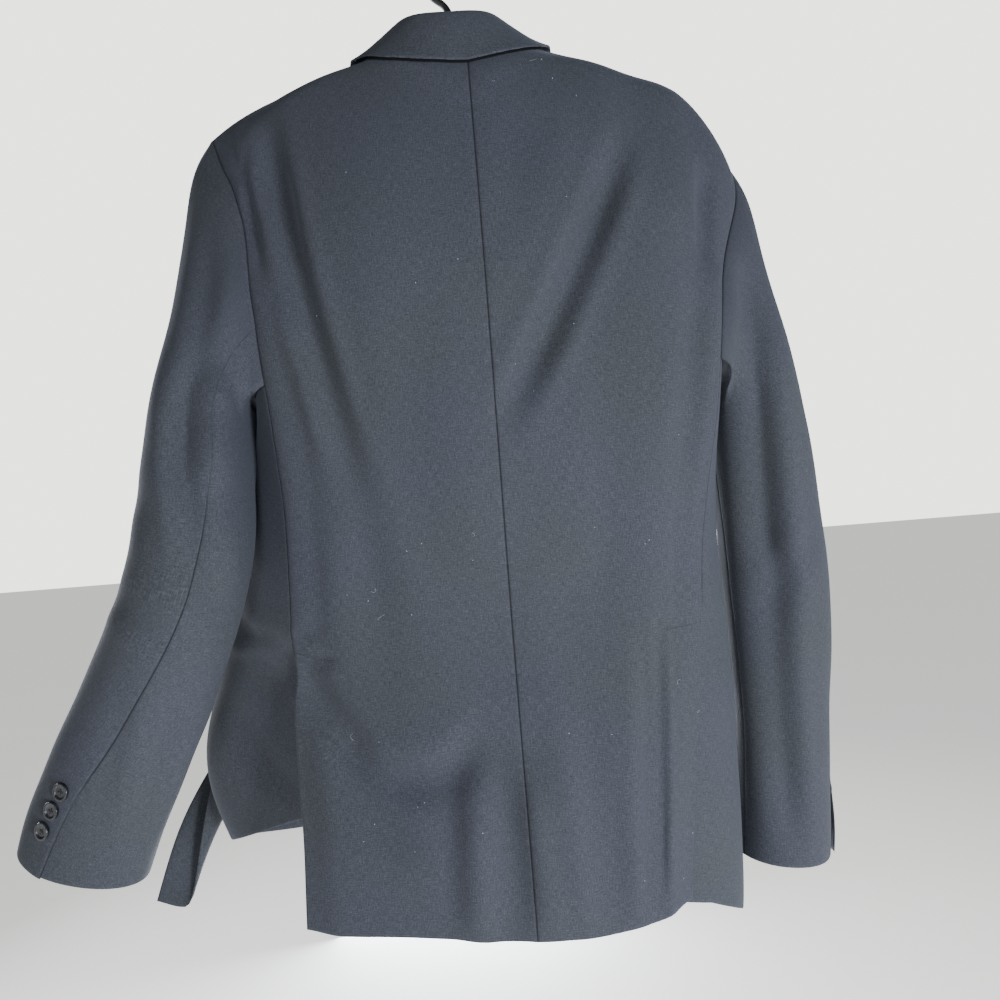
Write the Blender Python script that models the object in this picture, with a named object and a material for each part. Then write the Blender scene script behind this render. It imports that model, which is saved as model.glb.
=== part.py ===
"""A suit jacket hung open on a plain hanger, in metres, +Z up.

The back of the jacket faces +Y and the wearer's left is +X. The origin is the point inside the hanger's
hook that rests on a rail. Every cloth piece is cut from one body: lines down the garment (seams, roll lines,
the middles of panels) are short tables, each level of the garment is a smooth curve through those lines, and
a panel is the cloth between two of them. The two sleeves run from the armhole that the panels leave, through
rings along the arm.
"""

import math

import bpy
import numpy as np
from mathutils import Vector
from mathutils.bvhtree import BVHTree

# ---------------------------------------------------------------- driving dimensions
WALL = 0.002  # cloth with its interlining
SEAM = 0.0003  # clearance between neighbouring pieces
MM = 0.001

ARMHOLE_LEVEL, VENT_LEVEL, HEM_LEVEL = 300.0, 535.0, 775.0  # mm down the garment from the neck
BUTTON_LEVEL = 400.0
BUTTON_PITCH = 100.0
NOTCH_LEVEL = 84.0

ROWS_ARMHOLE, ROWS_WAIST, ROWS_VENT = 12, 6, 7  # rows of quads: shoulder to armhole, to vent, to hem
COLUMNS_BACK, COLUMNS_SIDE, COLUMNS_FRONT = 4, 6, 12  # back: in each of its three strips
ROWS_CAP, ROWS_ARM = 8, 15

VENT_SINK = 0.0045  # how far the side panel lies behind the back at a closed vent
LAPEL_WIDTH = 0.076
LAPEL_LIFT = 0.0015
LAPEL_FOOT, LAPEL_TAPER = 0.006, 0.85  # its width at the button, and how it narrows to that
LAPEL_RISE = 12.0  # how much higher its outer corner is than its notch, in mm
LAPEL_SPRING, LAPEL_SPRING_REACH = 0.0022, 0.016  # how it stands off the chest beside its roll
LAPEL_TOP, LAPEL_END = NOTCH_LEVEL + 7, BUTTON_LEVEL - 8
LAPEL_ROWS, LAPEL_COLUMNS = 12, 6
# The roll round the front's edge: how far beyond it and out from its cloth (mm), and the way it faces.
LAPEL_ROLL = (
    # beyond, out, lean
    (0.6, -2.0, 180),
    (3.0, -1.6, 140),
    (4.6, 0.6, 95),
    (4.3, 3.2, 60),
    (2.2, 5.0, 20),
    (0.0, 5.3, 0),
)
FLAP_WIDTH, FLAP_DEPTH, FLAP_LEVEL, FLAP_SLANT, FLAP_INSET = 0.105, 0.052, 556, 6, 0.014
WELT_WIDTH, WELT_DEPTH, WELT_LEVEL, WELT_SLANT, WELT_INSET = 0.080, 0.024, 206, 8, 0.010
LIES_OFF = 0.0016  # how far a pocket's piece stands off its panel

FRONT_BUTTONS, FRONT_BUTTON_INSET, FRONT_BUTTON_DROP = 2, 0.018, 2
FRONT_BUTTON_RADIUS, FRONT_BUTTON_THICK = 0.010, 0.0032
CUFF_BUTTON_RADIUS, CUFF_BUTTON_THICK = 0.0075, 0.0026
CUFF_BUTTONS, CUFF_BUTTON_PITCH, CUFF_BUTTON_FIRST, CUFF_BUTTON_INSET = 3, 0.019, 0.038, 0.014

HOOK_ROD, HOOK_INNER = 0.0034, 0.018  # radii
HOOK_SWING, HOOK_SWEEP = 60, 180  # degrees: aside from the shank, then on round the rail to the tip
HANGER_HALF_SPAN = 0.204
HANGER_CENTRE_TOP = -0.0985
HANGER_Y, HANGER_CLEAR = 0.004, 0.0006
BAR_MIDDLE, BAR_END = np.array([0.0075, 0.0135]), np.array([0.0125, 0.0095])  # half depth, half height
BAR_STATIONS = np.array([0.095, 0.130, 0.165, 0.195])  # where the shoulders' cloth sets the bar's height

# ---------------------------------------------------------------- the lines of the garment
# Columns: level down the garment, sideways from the middle, back to front, height, and the way the cloth
# heads there: 0 outwards, 90 forwards, 180 back towards the middle. In mm and degrees; +Y is the back.
CENTRE_BACK_X = -11
CENTRE_BACK = (
    # level, y, z
    (0, 50, -114),
    (20, 61, -134),
    (60, 70, -170),
    (130, 79, -232),
    (215, 86, -318),
    (300, 84, -400),
    (410, 73, -505),
    (535, 67, -627),
    (610, 75, -700),
    (695, 84, -785),
    (775, 92, -870),
)
LEFT_BACK_MIDDLE = (
    (0, 74, 0, -86, 0),
    (20, 84, 27, -106, 4),
    (60, 92, 48, -130, 8),
    (130, 95, 70, -206, 10),
    (215, 96, 80, -302, 12),
    (300, 94, 78, -394, 12),
    (410, 92, 69, -505, 12),
    (535, 92, 62, -627, 10),
    (610, 94, 69, -700, 8),
    (695, 95, 79, -785, 8),
    (775, 96, 85, -861, 8),
)
LEFT_BACK_OUTER = (
    (0, 180, 0, -123, 2),
    (20, 176, 24, -139, 12),
    (60, 170, 42, -166, 18),
    (130, 162, 58, -235, 24),
    (215, 157, 67, -314, 26),
    (300, 153, 67, -393, 28),
    (410, 148, 60, -504, 28),
    (535, 150, 54, -627, 24),
    (610, 152, 60, -700, 14),
    (695, 150, 71, -784, 10),
    (775, 148, 77, -859, 8),
)
LEFT_BACK_EDGE = (
    (0, 231, -2, -152, 10),
    (20, 221, 13, -180, 30),
    (60, 209, 27, -208, 40),
    (130, 198, 41, -260, 45),
    (215, 191, 50, -325, 45),
    (300, 185, 51, -394, 45),
    (410, 178, 46, -504, 45),
    (535, 183, 42, -627, 34),
    (610, 185, 47, -698, 18),
    (695, 181, 59, -780, 14),
    (775, 182, 66, -857, 12),
)
RIGHT_BACK_MIDDLE = (
    (0, 72, 0, -84, 0),
    (20, 83, 27, -107, 4),
    (60, 91, 48, -130, 8),
    (130, 94, 70, -208, 10),
    (215, 94, 80, -305, 12),
    (300, 92, 79, -397, 12),
    (410, 88, 71, -506, 12),
    (535, 82, 65, -627, 10),
    (610, 78, 72, -701, 8),
    (695, 74, 82, -787, 6),
    (775, 70, 90, -872, 6),
)
RIGHT_BACK_OUTER = (
    (0, 198, 0, -132, 4),
    (20, 200, 20, -146, 16),
    (60, 198, 38, -178, 22),
    (130, 190, 57, -242, 26),
    (215, 180, 67, -322, 28),
    (300, 174, 69, -399, 28),
    (410, 160, 63, -506, 28),
    (535, 146, 60, -627, 24),
    (610, 138, 65, -702, 16),
    (695, 128, 72, -788, 12),
    (775, 118, 80, -870, 12),
)
RIGHT_BACK_EDGE = (
    (0, 238, -23, -175, 40),
    (20, 247, -8, -197, 50),
    (60, 253, 11, -231, 52),
    (130, 239, 32, -276, 50),
    (215, 220, 50, -336, 52),
    (300, 212, 54, -400, 58),
    (410, 194, 50, -505, 50),
    (535, 180, 47, -627, 36),
    (610, 171, 50, -705, 24),
    (695, 159, 54, -791, 20),
    (775, 150, 57, -867, 20),
)
LEFT_FRONT_ARMHOLE = (
    (0, 231, -2, -152, 170),
    (20, 225, -20, -176, 165),
    (60, 214, -38, -210, 156),
    (130, 203, -48, -270, 150),
    (215, 198, -42, -345, 138),
    (300, 204, -18, -404, 104),
    (420, 238, -46, -502, 96),
    (535, 270, -58, -628, 92),
    (650, 304, -72, -735, 90),
    (775, 292, -78, -838, 80),
)
LEFT_FRONT_FOLD = (
    (0, 192, 0, -129, 176),
    (60, 190, -58, -204, 172),
    (130, 180, -78, -272, 170),
    (215, 172, -90, -350, 162),
    (300, 168, -98, -418, 158),
    (420, 168, -110, -512, 152),
    (535, 176, -126, -628, 140),
    (650, 190, -138, -745, 112),
    (775, 220, -136, -850, 40),
)
LEFT_FRONT_PINCH = (
    (0, 152, 0, -113, 178),
    (60, 155, -66, -196, 176),
    (130, 148, -90, -268, 176),
    (215, 140, -105, -352, 172),
    (300, 134, -116, -420, 166),
    (420, 130, -136, -514, 134),
    (535, 156, -164, -624, 50),
    (650, 214, -158, -728, 0),
    (775, 306, -90, -776, -12),
)
LEFT_FRONT_STRIP = (
    (0, 113, 0, -99, 179),
    (60, 118, -66, -172, 178),
    (130, 118, -93, -252, 178),
    (215, 114, -111, -346, 178),
    (300, 108, -124, -420, 168),
    (420, 118, -154, -512, 84),
    (535, 180, -178, -622, 2),
    (650, 262, -138, -736, -16),
    (715, 320, -112, -822, -8),
    (775, 350, -87, -908, 0),
)
LEFT_FRONT_EDGE = (
    (0, 74, 0, -86, 180),
    (60, 78, -52, -138, 180),
    (130, 88, -88, -232, 180),
    (215, 90, -112, -340, 180),
    (300, 94, -130, -420, 170),
    (420, 136, -166, -510, 40),
    (535, 216, -166, -618, -14),
    (650, 300, -118, -742, -10),
    (715, 349, -100, -820, -4),
    (775, 378, -86, -899, 0),
)
RIGHT_FRONT_ARMHOLE = (
    (0, 238, -23, -175, 170),
    (20, 233, -36, -194, 166),
    (60, 226, -50, -224, 160),
    (130, 214, -60, -282, 152),
    (215, 206, -52, -350, 142),
    (300, 210, -20, -412, 106),
    (420, 213, -22, -515, 104),
    (535, 216, -24, -632, 100),
    (650, 219, -20, -768, 96),
    (775, 211, -14, -920, 96),
)
RIGHT_FRONT_MIDDLE = (
    (0, 155, 0, -114, 178),
    (60, 152, -68, -200, 176),
    (130, 146, -86, -272, 178),
    (215, 140, -94, -355, 178),
    (300, 138, -97, -424, 176),
    (420, 138, -94, -520, 172),
    (535, 138, -94, -636, 170),
    (650, 138, -95, -770, 168),
    (775, 136, -94, -912, 168),
)
RIGHT_FRONT_EDGE = (
    (0, 72, 0, -84, 180),
    (60, 76, -51, -137, 180),
    (130, 68, -84, -222, 180),
    (215, 50, -102, -318, 180),
    (300, 30, -110, -406, 180),
    (400, 12, -113, -502, 180),
    (535, 12, -112, -640, 178),
    (650, 18, -112, -770, 176),
    (730, 36, -112, -862, 174),
    (775, 72, -110, -909, 172),
)
# The left side panel swings out at its vent, so its back edge leaves the back's there.
LEFT_SIDE_VENT = (
    (535, 183, 42, -627, 48),
    (610, 181, 29, -688, 44),
    (695, 177, 15, -745, 40),
    (775, 172, 6, -786, 38),
)

# Rings along each arm: centre, half width across the arm, half depth, and where the hind-arm seam runs
# round the ring (0 outwards, 90 at the back, 180 at the body), in mm and degrees.
LEFT_ARM = (
    # x, y, z, half_width, half_depth, hind_seam
    (253, 26, -432, 42, 54, 124),
    (257, 40, -500, 49, 52, 122),
    (269, 48, -565, 50, 50, 114),
    (298, 43, -632, 53, 46, 100),
    (334, 36, -700, 56, 42, 86),
    (366, 31, -758, 57, 40, 74),
    (382, 29, -798, 56, 39, 68),
)
RIGHT_ARM = (
    (260, -11, -440, 41, 53, 34),
    (270, -21, -520, 48, 52, 22),
    (276, -29, -600, 50, 51, 14),
    (277, -33, -680, 48, 49, 10),
    (273, -35, -756, 46, 47, 8),
    (268, -36, -822, 45, 46, 8),
    (264, -36, -875, 45, 46, 8),
)
UNDER_SLEEVE_SPAN = 150  # degrees of the ring that the under sleeve covers
SLEEVE_HEAD, SLEEVE_HEAD_PEAK = {1: 0.008, -1: 0.004}, 0.20  # how far its head swells, and how far down its cap

# The collar along the neckline, from the centre back (0) to the neck point (1) and down to the notch (2):
# its roll line and the edge of its fall. One half, mirrored about the collar's own middle.
COLLAR_MIDDLE_X = 3
COLLAR = (
    # place, roll_x, roll_y, roll_z, edge_x, edge_y, edge_z
    (0.00, 0, 52, -82, 0, 67, -130),
    (0.28, 21, 49, -80, 28, 61, -128),
    (0.55, 38, 36, -75, 53, 48, -120),
    (0.80, 47, 17, -71, 79, 24, -107),
    (1.00, 53, 0, -72, 94, 0, -92),
    (1.25, 64, -30, -86, 106, -36, -117),
    (1.55, 71, -48, -112, 111, -56, -142),
    (1.80, 77, -60, -140, 116, -64, -160),
    (2.00, 80, -66, -163, 118, -68, -172),
)
FALL_LIFT, CREST_LIFT = 0.0056, 0.0016
GORGE, GORGE_REACH = 0.011, 2.5  # how far the collar's end bellies down to the lapel, over how many stations
CREST_TURN, FALL_SPRING = 0.010, 0.42  # how broadly the collar turns over its roll line
UNDERCOLLAR_THICK, UNDERCOLLAR_SHOWS = 0.0012, 0.0025
COLLAR_OFF, COLLAR_SHORT, COLLAR_TURN = 0.0007, 6, 0.020
COLLAR_ALONG, COLLAR_STAND, COLLAR_OVER = 14, 3, 6

# Long soft folds in the back: two ends, width and depth (a ridge where it is negative), in mm.
BACK_FOLDS = (
    # x0, z0, x1, z1, width, depth
    (168, -190, 110, -440, 30, 5),
    (-150, -185, -40, -430, 34, 5),
    (-215, -230, -205, -330, 16, 4),
    (183, -632, 70, -775, 26, 7),
    (70, -775, -8, -700, 30, 4),
    (30, -740, 28, -868, 16, -5),
    (-38, -735, -44, -872, 18, -5),
    (-124, -640, -112, -868, 9, 5),
)


# ---------------------------------------------------------------- curves
def spline(knots, values, at):
    """Natural cubic through values at knots, read at other places."""
    knots, values, at = (np.asarray(v, float) for v in (knots, values, at))
    step = np.diff(knots)
    count = len(knots)
    system, target = np.eye(count), np.zeros_like(values)
    for i in range(1, count - 1):
        system[i, i - 1 : i + 2] = step[i - 1], 2 * (step[i - 1] + step[i]), step[i]
        target[i] = 6 * ((values[i + 1] - values[i]) / step[i] - (values[i] - values[i - 1]) / step[i - 1])
    bend = np.linalg.solve(system, target)
    k = np.clip(np.searchsorted(knots, at, side="right") - 1, 0, count - 2)
    width = step[k]
    before, after = (knots[k + 1] - at) / width, (at - knots[k]) / width
    shape = (-1,) + (1,) * (values.ndim - 1)
    before, after, width = before.reshape(shape), after.reshape(shape), width.reshape(shape)
    curve = (before**3 - before) * bend[k] + (after**3 - after) * bend[k + 1]
    return before * values[k] + after * values[k + 1] + curve * width**2 / 6


def resampled(values, count):
    """The same rows of numbers, read at another count of even steps."""
    steps, want = np.linspace(0, 1, len(values)), np.linspace(0, 1, count)
    return np.column_stack([np.interp(want, steps, values[:, k]) for k in range(values.shape[1])])


def smooth(x):
    x = np.clip(x, 0, 1)
    return x * x * (3 - 2 * x)


def blend(start, leave, end, arrive, u):
    """A cubic arc from start to end with the given directions there."""
    from_start, from_end = 2 * u**3 - 3 * u**2 + 1, -2 * u**3 + 3 * u**2
    return from_start * start + (u**3 - 2 * u**2 + u) * leave + from_end * end + (u**3 - u**2) * arrive


def line(table, levels, side):
    """A line of the garment at these levels: points in metres and headings in degrees."""
    table = np.array(table, float)
    read = spline(table[:, 0], table[:, 1:], levels)
    points = read[:, :3] * MM
    points[:, 0] *= side
    return points, read[:, 3]


def centre_back(levels):
    table = np.array(CENTRE_BACK, float)
    read = spline(table[:, 0], table[:, 1:], levels)
    points = np.column_stack([np.full(len(read), CENTRE_BACK_X), read]) * MM
    return points, np.zeros(len(read))


def steady(a, b):
    """A slope between two neighbouring ones that never overshoots: their harmonic mean, or level."""
    return np.where(a * b > 0, 2 * a * b / np.where(a * b > 0, a + b, 1), 0)


def across(lines, columns, side, corner=None):
    """The cloth through neighbouring lines: cubic arcs that leave each line along its heading."""
    points = [p for p, _ in lines]
    turns = [t for _, t in lines]
    strips = []
    for k in range(len(lines) - 1):
        start, end = points[k], points[k + 1]
        t0, t1 = turns[k], turns[k + 1]
        if corner is not None and k == 0:
            t1 = t1 + corner
        reach = np.linalg.norm((end - start)[:, :2], axis=1) / np.cos(np.radians(t1 - t0) / 4) ** 2
        rise = end[:, 2] - start[:, 2]
        rises = []
        for at, other in ((k, k - 1), (k + 1, k + 2)):
            if 0 <= other < len(lines):
                own = np.linalg.norm(end - start, axis=1)
                neighbour = np.linalg.norm(points[other] - points[at], axis=1)
                slope = np.sign(other - at) * (points[other][:, 2] - points[at][:, 2]) / neighbour
                even = own * steady(rise / own, slope)
                if corner is not None and at == 1:
                    even = even + (rise - even) * corner / NECK_CORNER
                rises.append(even)
            else:
                rises.append(rise)
        ways = [
            np.column_stack([side * reach * np.cos(np.radians(t)), -reach * np.sin(np.radians(t)), r])
            for t, r in ((t0, rises[0]), (t1, rises[1]))
        ]
        count = columns[k]
        for u in np.linspace(0, 1, count + 1)[: None if k == len(lines) - 2 else -1]:
            strips.append(blend(start, ways[0], end, ways[1], u))
    return np.stack(strips, axis=1)


def normals(grid, side):
    """Unit normals of a grid that runs down and then outwards, pointing out of the garment."""
    down, out = np.gradient(grid, axis=0), np.gradient(grid, axis=1)
    return unit(np.cross(out, down) * side)


def unit(v):
    return v / np.linalg.norm(v, axis=-1, keepdims=True)


def fold(grid, face, table):
    """Presses long soft troughs into a grid of points."""
    spot = grid[..., [0, 2]]
    deep = np.zeros(grid.shape[:2])
    for x0, z0, x1, z1, width, depth in table:
        start, end = np.array([x0, z0]) * MM, np.array([x1, z1]) * MM
        along = end - start
        t = ((spot - start) @ along) / (along @ along)
        gap = np.linalg.norm(spot - (start + np.clip(t, 0, 1)[..., None] * along), axis=-1)
        ends = smooth((t + 0.15) / 0.45) * smooth((1.15 - t) / 0.45)
        deep += depth * MM * np.exp(-((gap / (width * MM)) ** 2)) * ends
    return grid - face * deep[..., None]


# ---------------------------------------------------------------- solids
def material(name, colour, roughness, metallic=0.0):
    shade = bpy.data.materials.new(name)
    shade.use_nodes = True
    surface = shade.node_tree.nodes["Principled BSDF"]
    surface.inputs["Base Color"].default_value = (*colour, 1)
    surface.inputs["Roughness"].default_value = roughness
    surface.inputs["Metallic"].default_value = metallic
    return shade


WOOL = (0.040, 0.047, 0.058)
MELTON = (0.006, 0.006, 0.008)
HORN = (0.012, 0.013, 0.016)
PLASTIC = (0.010, 0.010, 0.011)


def add(name, points, faces, colour, roughness):
    mesh = bpy.data.meshes.new(name)
    mesh.from_pydata([tuple(p) for p in points], [], faces)
    mesh.shade_smooth()
    mesh.set_sharp_from_angle(angle=math.radians(40))
    mesh.materials.append(material(name, colour, roughness))
    body = bpy.data.objects.new(name, mesh)
    bpy.context.collection.objects.link(body)
    return body


RIM_LEAN = np.array([0.11, 0.37, 1.0])


def wall(name, grid, face, colour=WOOL, thick=WALL):
    """A cloth piece: the grid is its outer side, and the wall lies inside it."""
    rows, columns = grid.shape[:2]
    winding = np.cross(grid[1:, :-1] - grid[:-1, :-1], grid[:-1, 1:] - grid[:-1, :-1])
    inside_out = (winding * face[:-1, :-1]).sum() < 0
    outer = grid.reshape(-1, 3)
    inner = (grid - face * thick).reshape(-1, 3)
    count = rows * columns
    place = np.arange(count).reshape(rows, columns)
    faces = []
    for i in range(rows - 1):
        for j in range(columns - 1):
            quad = place[i, j], place[i + 1, j], place[i + 1, j + 1], place[i, j + 1]
            faces.append(quad)
            faces.append(tuple(count + v for v in reversed(quad)))
    rim = [*place[:, 0], *place[-1, 1:], *place[-2::-1, -1], *place[0, -2:0:-1]]
    lean = outer @ RIM_LEAN
    for a, b in zip(rim, rim[1:] + rim[:1]):
        # both pieces at a seam split their rims along the same diagonal
        if lean[a] < lean[b]:
            faces += [(b, a, count + b), (a, count + a, count + b)]
        else:
            faces += [(b, a, count + a), (b, count + a, count + b)]
    if inside_out:
        faces = [tuple(reversed(f)) for f in faces]
    return add(name, np.vstack([outer, inner]), faces, colour, 0.85)


def inward(edge, inner, by):
    """A step from a seam towards the piece's inside, square to the seam."""
    along = unit(np.gradient(edge, axis=0))
    way = inner - edge
    return unit(way - along * (way * along).sum(1, keepdims=True)) * by


def drawn_in(grid, top=False, first=False, last=False, by=SEAM / 2):
    """The same grid with the named edges drawn back, to leave half of the seam's clearance."""
    grid = grid.copy()
    if top:
        grid[0] += inward(grid[0], grid[1], by)
    if first:
        grid[:, 0] += inward(grid[:, 0], grid[:, 1], by)
    if last:
        grid[:, -1] += inward(grid[:, -1], grid[:, -2], by)
    return grid


# ---------------------------------------------------------------- the body of the jacket
LEVELS = np.concatenate(
    [
        ARMHOLE_LEVEL * np.linspace(0, 1, ROWS_ARMHOLE + 1) ** 1.25,
        np.linspace(ARMHOLE_LEVEL, VENT_LEVEL, ROWS_WAIST + 1)[1:],
        np.linspace(VENT_LEVEL, HEM_LEVEL, ROWS_VENT + 1)[1:],
    ]
)
UNDERARM, VENT = ROWS_ARMHOLE, ROWS_ARMHOLE + ROWS_WAIST
SHOULDER_COLUMN = COLUMNS_BACK
NECK_CORNER = 62  # how much the neckline turns forward where the shoulder seam meets it, in degrees
NECK_FADE, SHOULDER_FADE = 35, 40  # mm down the garment over which that turn and the shoulder's line die out

BACK_LINES = {
    1: (LEFT_BACK_MIDDLE, LEFT_BACK_OUTER, LEFT_BACK_EDGE),
    -1: (RIGHT_BACK_MIDDLE, RIGHT_BACK_OUTER, RIGHT_BACK_EDGE),
}
FRONT_LINES = {
    1: (LEFT_FRONT_ARMHOLE, LEFT_FRONT_FOLD, LEFT_FRONT_PINCH, LEFT_FRONT_STRIP, LEFT_FRONT_EDGE),
    -1: (RIGHT_FRONT_ARMHOLE, RIGHT_FRONT_MIDDLE, RIGHT_FRONT_EDGE),
}


def back_grid(side):
    lines = [centre_back(LEVELS)] + [line(t, LEVELS, side) for t in BACK_LINES[side]]
    corner = NECK_CORNER * np.exp(-((LEVELS / NECK_FADE) ** 2))
    grid = across(lines, [COLUMNS_BACK] * 3, side, corner)
    return fold(grid, normals(grid, side), BACK_FOLDS)


def front_grid(side, back):
    lines = [line(t, LEVELS, side) for t in FRONT_LINES[side]]
    columns = COLUMNS_FRONT // (len(lines) - 1)
    grid = across(lines, [columns] * (len(lines) - 1), side)
    shoulder = back[0, SHOULDER_COLUMN:][::-1]
    return blend_top(grid, shoulder)


def blend_top(grid, shoulder):
    """Carries the top of a front onto the shoulder seam that the back gives it."""
    shift = resampled(shoulder, grid.shape[1]) - grid[0]
    fade = np.exp(-((LEVELS / SHOULDER_FADE) ** 2))
    return grid + fade[:, None, None] * shift[None]


def side_grid(side, back, front):
    """The side panel between the back and the front, with the underlap of its vent behind the back."""
    rows = LEVELS[UNDERARM:]
    _, edge_heading = line(BACK_LINES[side][2], rows, side)
    _, front_heading = line(FRONT_LINES[side][0], rows, side)
    edge = back[UNDERARM:, -1]
    below = smooth((rows - VENT_LEVEL + 30) / 60)
    if side > 0:
        swung, heading = line(LEFT_SIDE_VENT, np.maximum(rows, VENT_LEVEL), side)
        open_vent = rows > VENT_LEVEL
        edge = np.where(open_vent[:, None], swung, edge)
        edge_heading = np.where(open_vent, heading, edge_heading)
    grid = across([(edge, edge_heading), (front[UNDERARM:, 0], front_heading)], [COLUMNS_SIDE], side)
    face = normals(grid, side)
    sink = VENT_SINK * below[:, None, None] * np.linspace(1, 0, COLUMNS_SIDE + 1)[None, :, None] ** 2
    return grid - face * sink


def shared(a, b):
    """Two pieces meet along a seam with one wall direction between them."""
    return unit(a + b)


# ---------------------------------------------------------------- sleeves
def arm_rings(table, side, count):
    """Rings down the arm: centres, the way across, the way back, half sizes and seam angles."""
    table = np.array(table, float)
    reach = np.concatenate([[0], np.cumsum(np.linalg.norm(np.diff(table[:, :3], axis=0), axis=1))])
    at = np.linspace(0, reach[-1], count + 1)
    read = spline(reach, table, at)
    centre = read[:, :3] * MM
    centre[:, 0] *= side
    along = unit(np.gradient(centre, axis=0))
    back = np.array([0, 1.0, 0]) - along * along[:, [1]]
    back = unit(back)
    out = np.cross(along, back) * side
    out *= np.sign(out[:, [0]] * side)
    return centre, along, out, back, read[:, 3:5] * MM, read[:, 5]


def armhole(back, side_top, front):
    """The armhole's loop: down the back from the shoulder, under the arm and up the front."""
    return np.vstack([back[: UNDERARM + 1], side_top[1:-1], front[UNDERARM::-1]])


def loop_angles(loop):
    """Where each point of the armhole lands round the arm: the tip at 0, the lowest under the arm at 180."""
    run = np.concatenate([[0], np.cumsum(np.linalg.norm(np.diff(loop, axis=0), axis=1))])
    low = UNDERARM + COLUMNS_SIDE // 2
    first = run[: low + 1] / run[low] * 180
    second = 180 + (run[low + 1 :] - run[low]) / (run[-1] - run[low]) * 180
    return np.concatenate([first, second])


def seams(loop, hind):
    """The columns of the armhole's loop where the sleeve's two seams start."""
    angle = loop_angles(loop)
    return [int(np.argmin(np.abs(angle - want))) for want in (hind[0], hind[0] + UNDER_SLEEVE_SPAN)]


def tube_angles(loop, hind):
    """Where each column of the sleeve runs round the arm, from the hind seam: under sleeve, then top."""
    angle = loop_angles(loop)
    first, second = seams(loop, hind)
    order = list(range(first, len(loop))) + list(range(1, first + 1))
    under = second - first
    own = np.concatenate([angle[first:], angle[1 : first + 1] + 360])
    split = own[under]
    below = (own - own[0]) / (split - own[0]) * UNDER_SLEEVE_SPAN
    above = (own - split) / (own[0] + 360 - split) * (360 - UNDER_SLEEVE_SPAN)
    turned = np.where(own <= split, below, UNDER_SLEEVE_SPAN + above)
    return order, under, np.radians(hind[:, None] + turned)


def sleeve_tube(table, side, loop):
    """A closed tube of columns from the armhole down the arm, its first column on the hind seam."""
    centre, along, out, back, half, hind = arm_rings(table, side, ROWS_ARM)
    order, under, angle = tube_angles(loop, hind)
    start = loop[order]
    across_arm = np.cos(angle)[..., None] * out[:, None] * half[:, 0][:, None, None]
    depth = np.sin(angle)[..., None] * back[:, None] * half[:, 1][:, None, None]
    rings = centre[:, None] + across_arm + depth
    reach = np.linalg.norm(rings[0] - start, axis=1, keepdims=True)
    rear = np.sin(angle[0])[:, None]
    below = np.maximum(-np.cos(angle[0]), 0)[:, None]
    over_way = np.array([side * 0.38, 0, -0.92]) + np.array([0, 0.3, 0]) * rear
    under_way = np.array([side * 0.95, 0, -0.3])
    leave = unit(over_way * (1 - below) + under_way * below) * reach * (0.6 + 0.4 * below)
    arrive = unit(rings[1] - rings[0]) * reach
    over = np.maximum(np.cos(angle[0]), 0)[:, None] * out[0] * SLEEVE_HEAD[side]
    cap = []
    for u in np.linspace(0, 1, ROWS_CAP + 1)[:-1]:
        swell = (u / SLEEVE_HEAD_PEAK * math.exp(1 - u / SLEEVE_HEAD_PEAK)) ** 2
        cap.append(blend(start, leave, rings[0], arrive, u) + over * swell)
    return np.concatenate([np.stack(cap), rings]), order, under


def sleeve_normals(tube, side):
    """Normals of a closed tube of columns."""
    ring = np.concatenate([tube[:, -2:-1], tube, tube[:, 1:2]], axis=1)
    down, round_arm = np.gradient(ring, axis=0), np.gradient(ring, axis=1)
    return unit(np.cross(down, round_arm)[:, 1:-1] * side)


# ---------------------------------------------------------------- what lies on the panels
def beside(grid, face, row, reach):
    """A point of a grid and its normal, so far along a row from its first edge (or back from its last)."""
    i = min(int(row), len(grid) - 2)
    t = row - i
    points, ways = grid[i] * (1 - t) + grid[i + 1] * t, face[i] * (1 - t) + face[i + 1] * t
    run = np.concatenate([[0], np.cumsum(np.linalg.norm(np.diff(points, axis=0), axis=1))])
    if reach < 0:
        reach = run[-1] + reach
    both = np.concatenate([points, ways], axis=1)
    read = np.array([np.interp(reach, run, both[:, k]) for k in range(6)])
    return read[:3], unit(read[3:])


def spot(grid, face, level, reach):
    """A point of a panel at a level of the garment."""
    return beside(grid, face, np.interp(level, LEVELS, np.arange(len(LEVELS))), reach)


def patch(grid, face, levels, reaches, lift):
    """A piece laid on a panel: levels[i][j] and reaches[i][j] are its grid, moved out by lift[i][j]."""
    points, ways = [], []
    for i in range(len(levels)):
        row = [spot(grid, face, levels[i][j], reaches[i][j]) for j in range(len(levels[i]))]
        points.append([p + n * lift[i][j] for j, (p, n) in enumerate(row)])
        ways.append([n for _, n in row])
    return np.array(points), np.array(ways)


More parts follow.
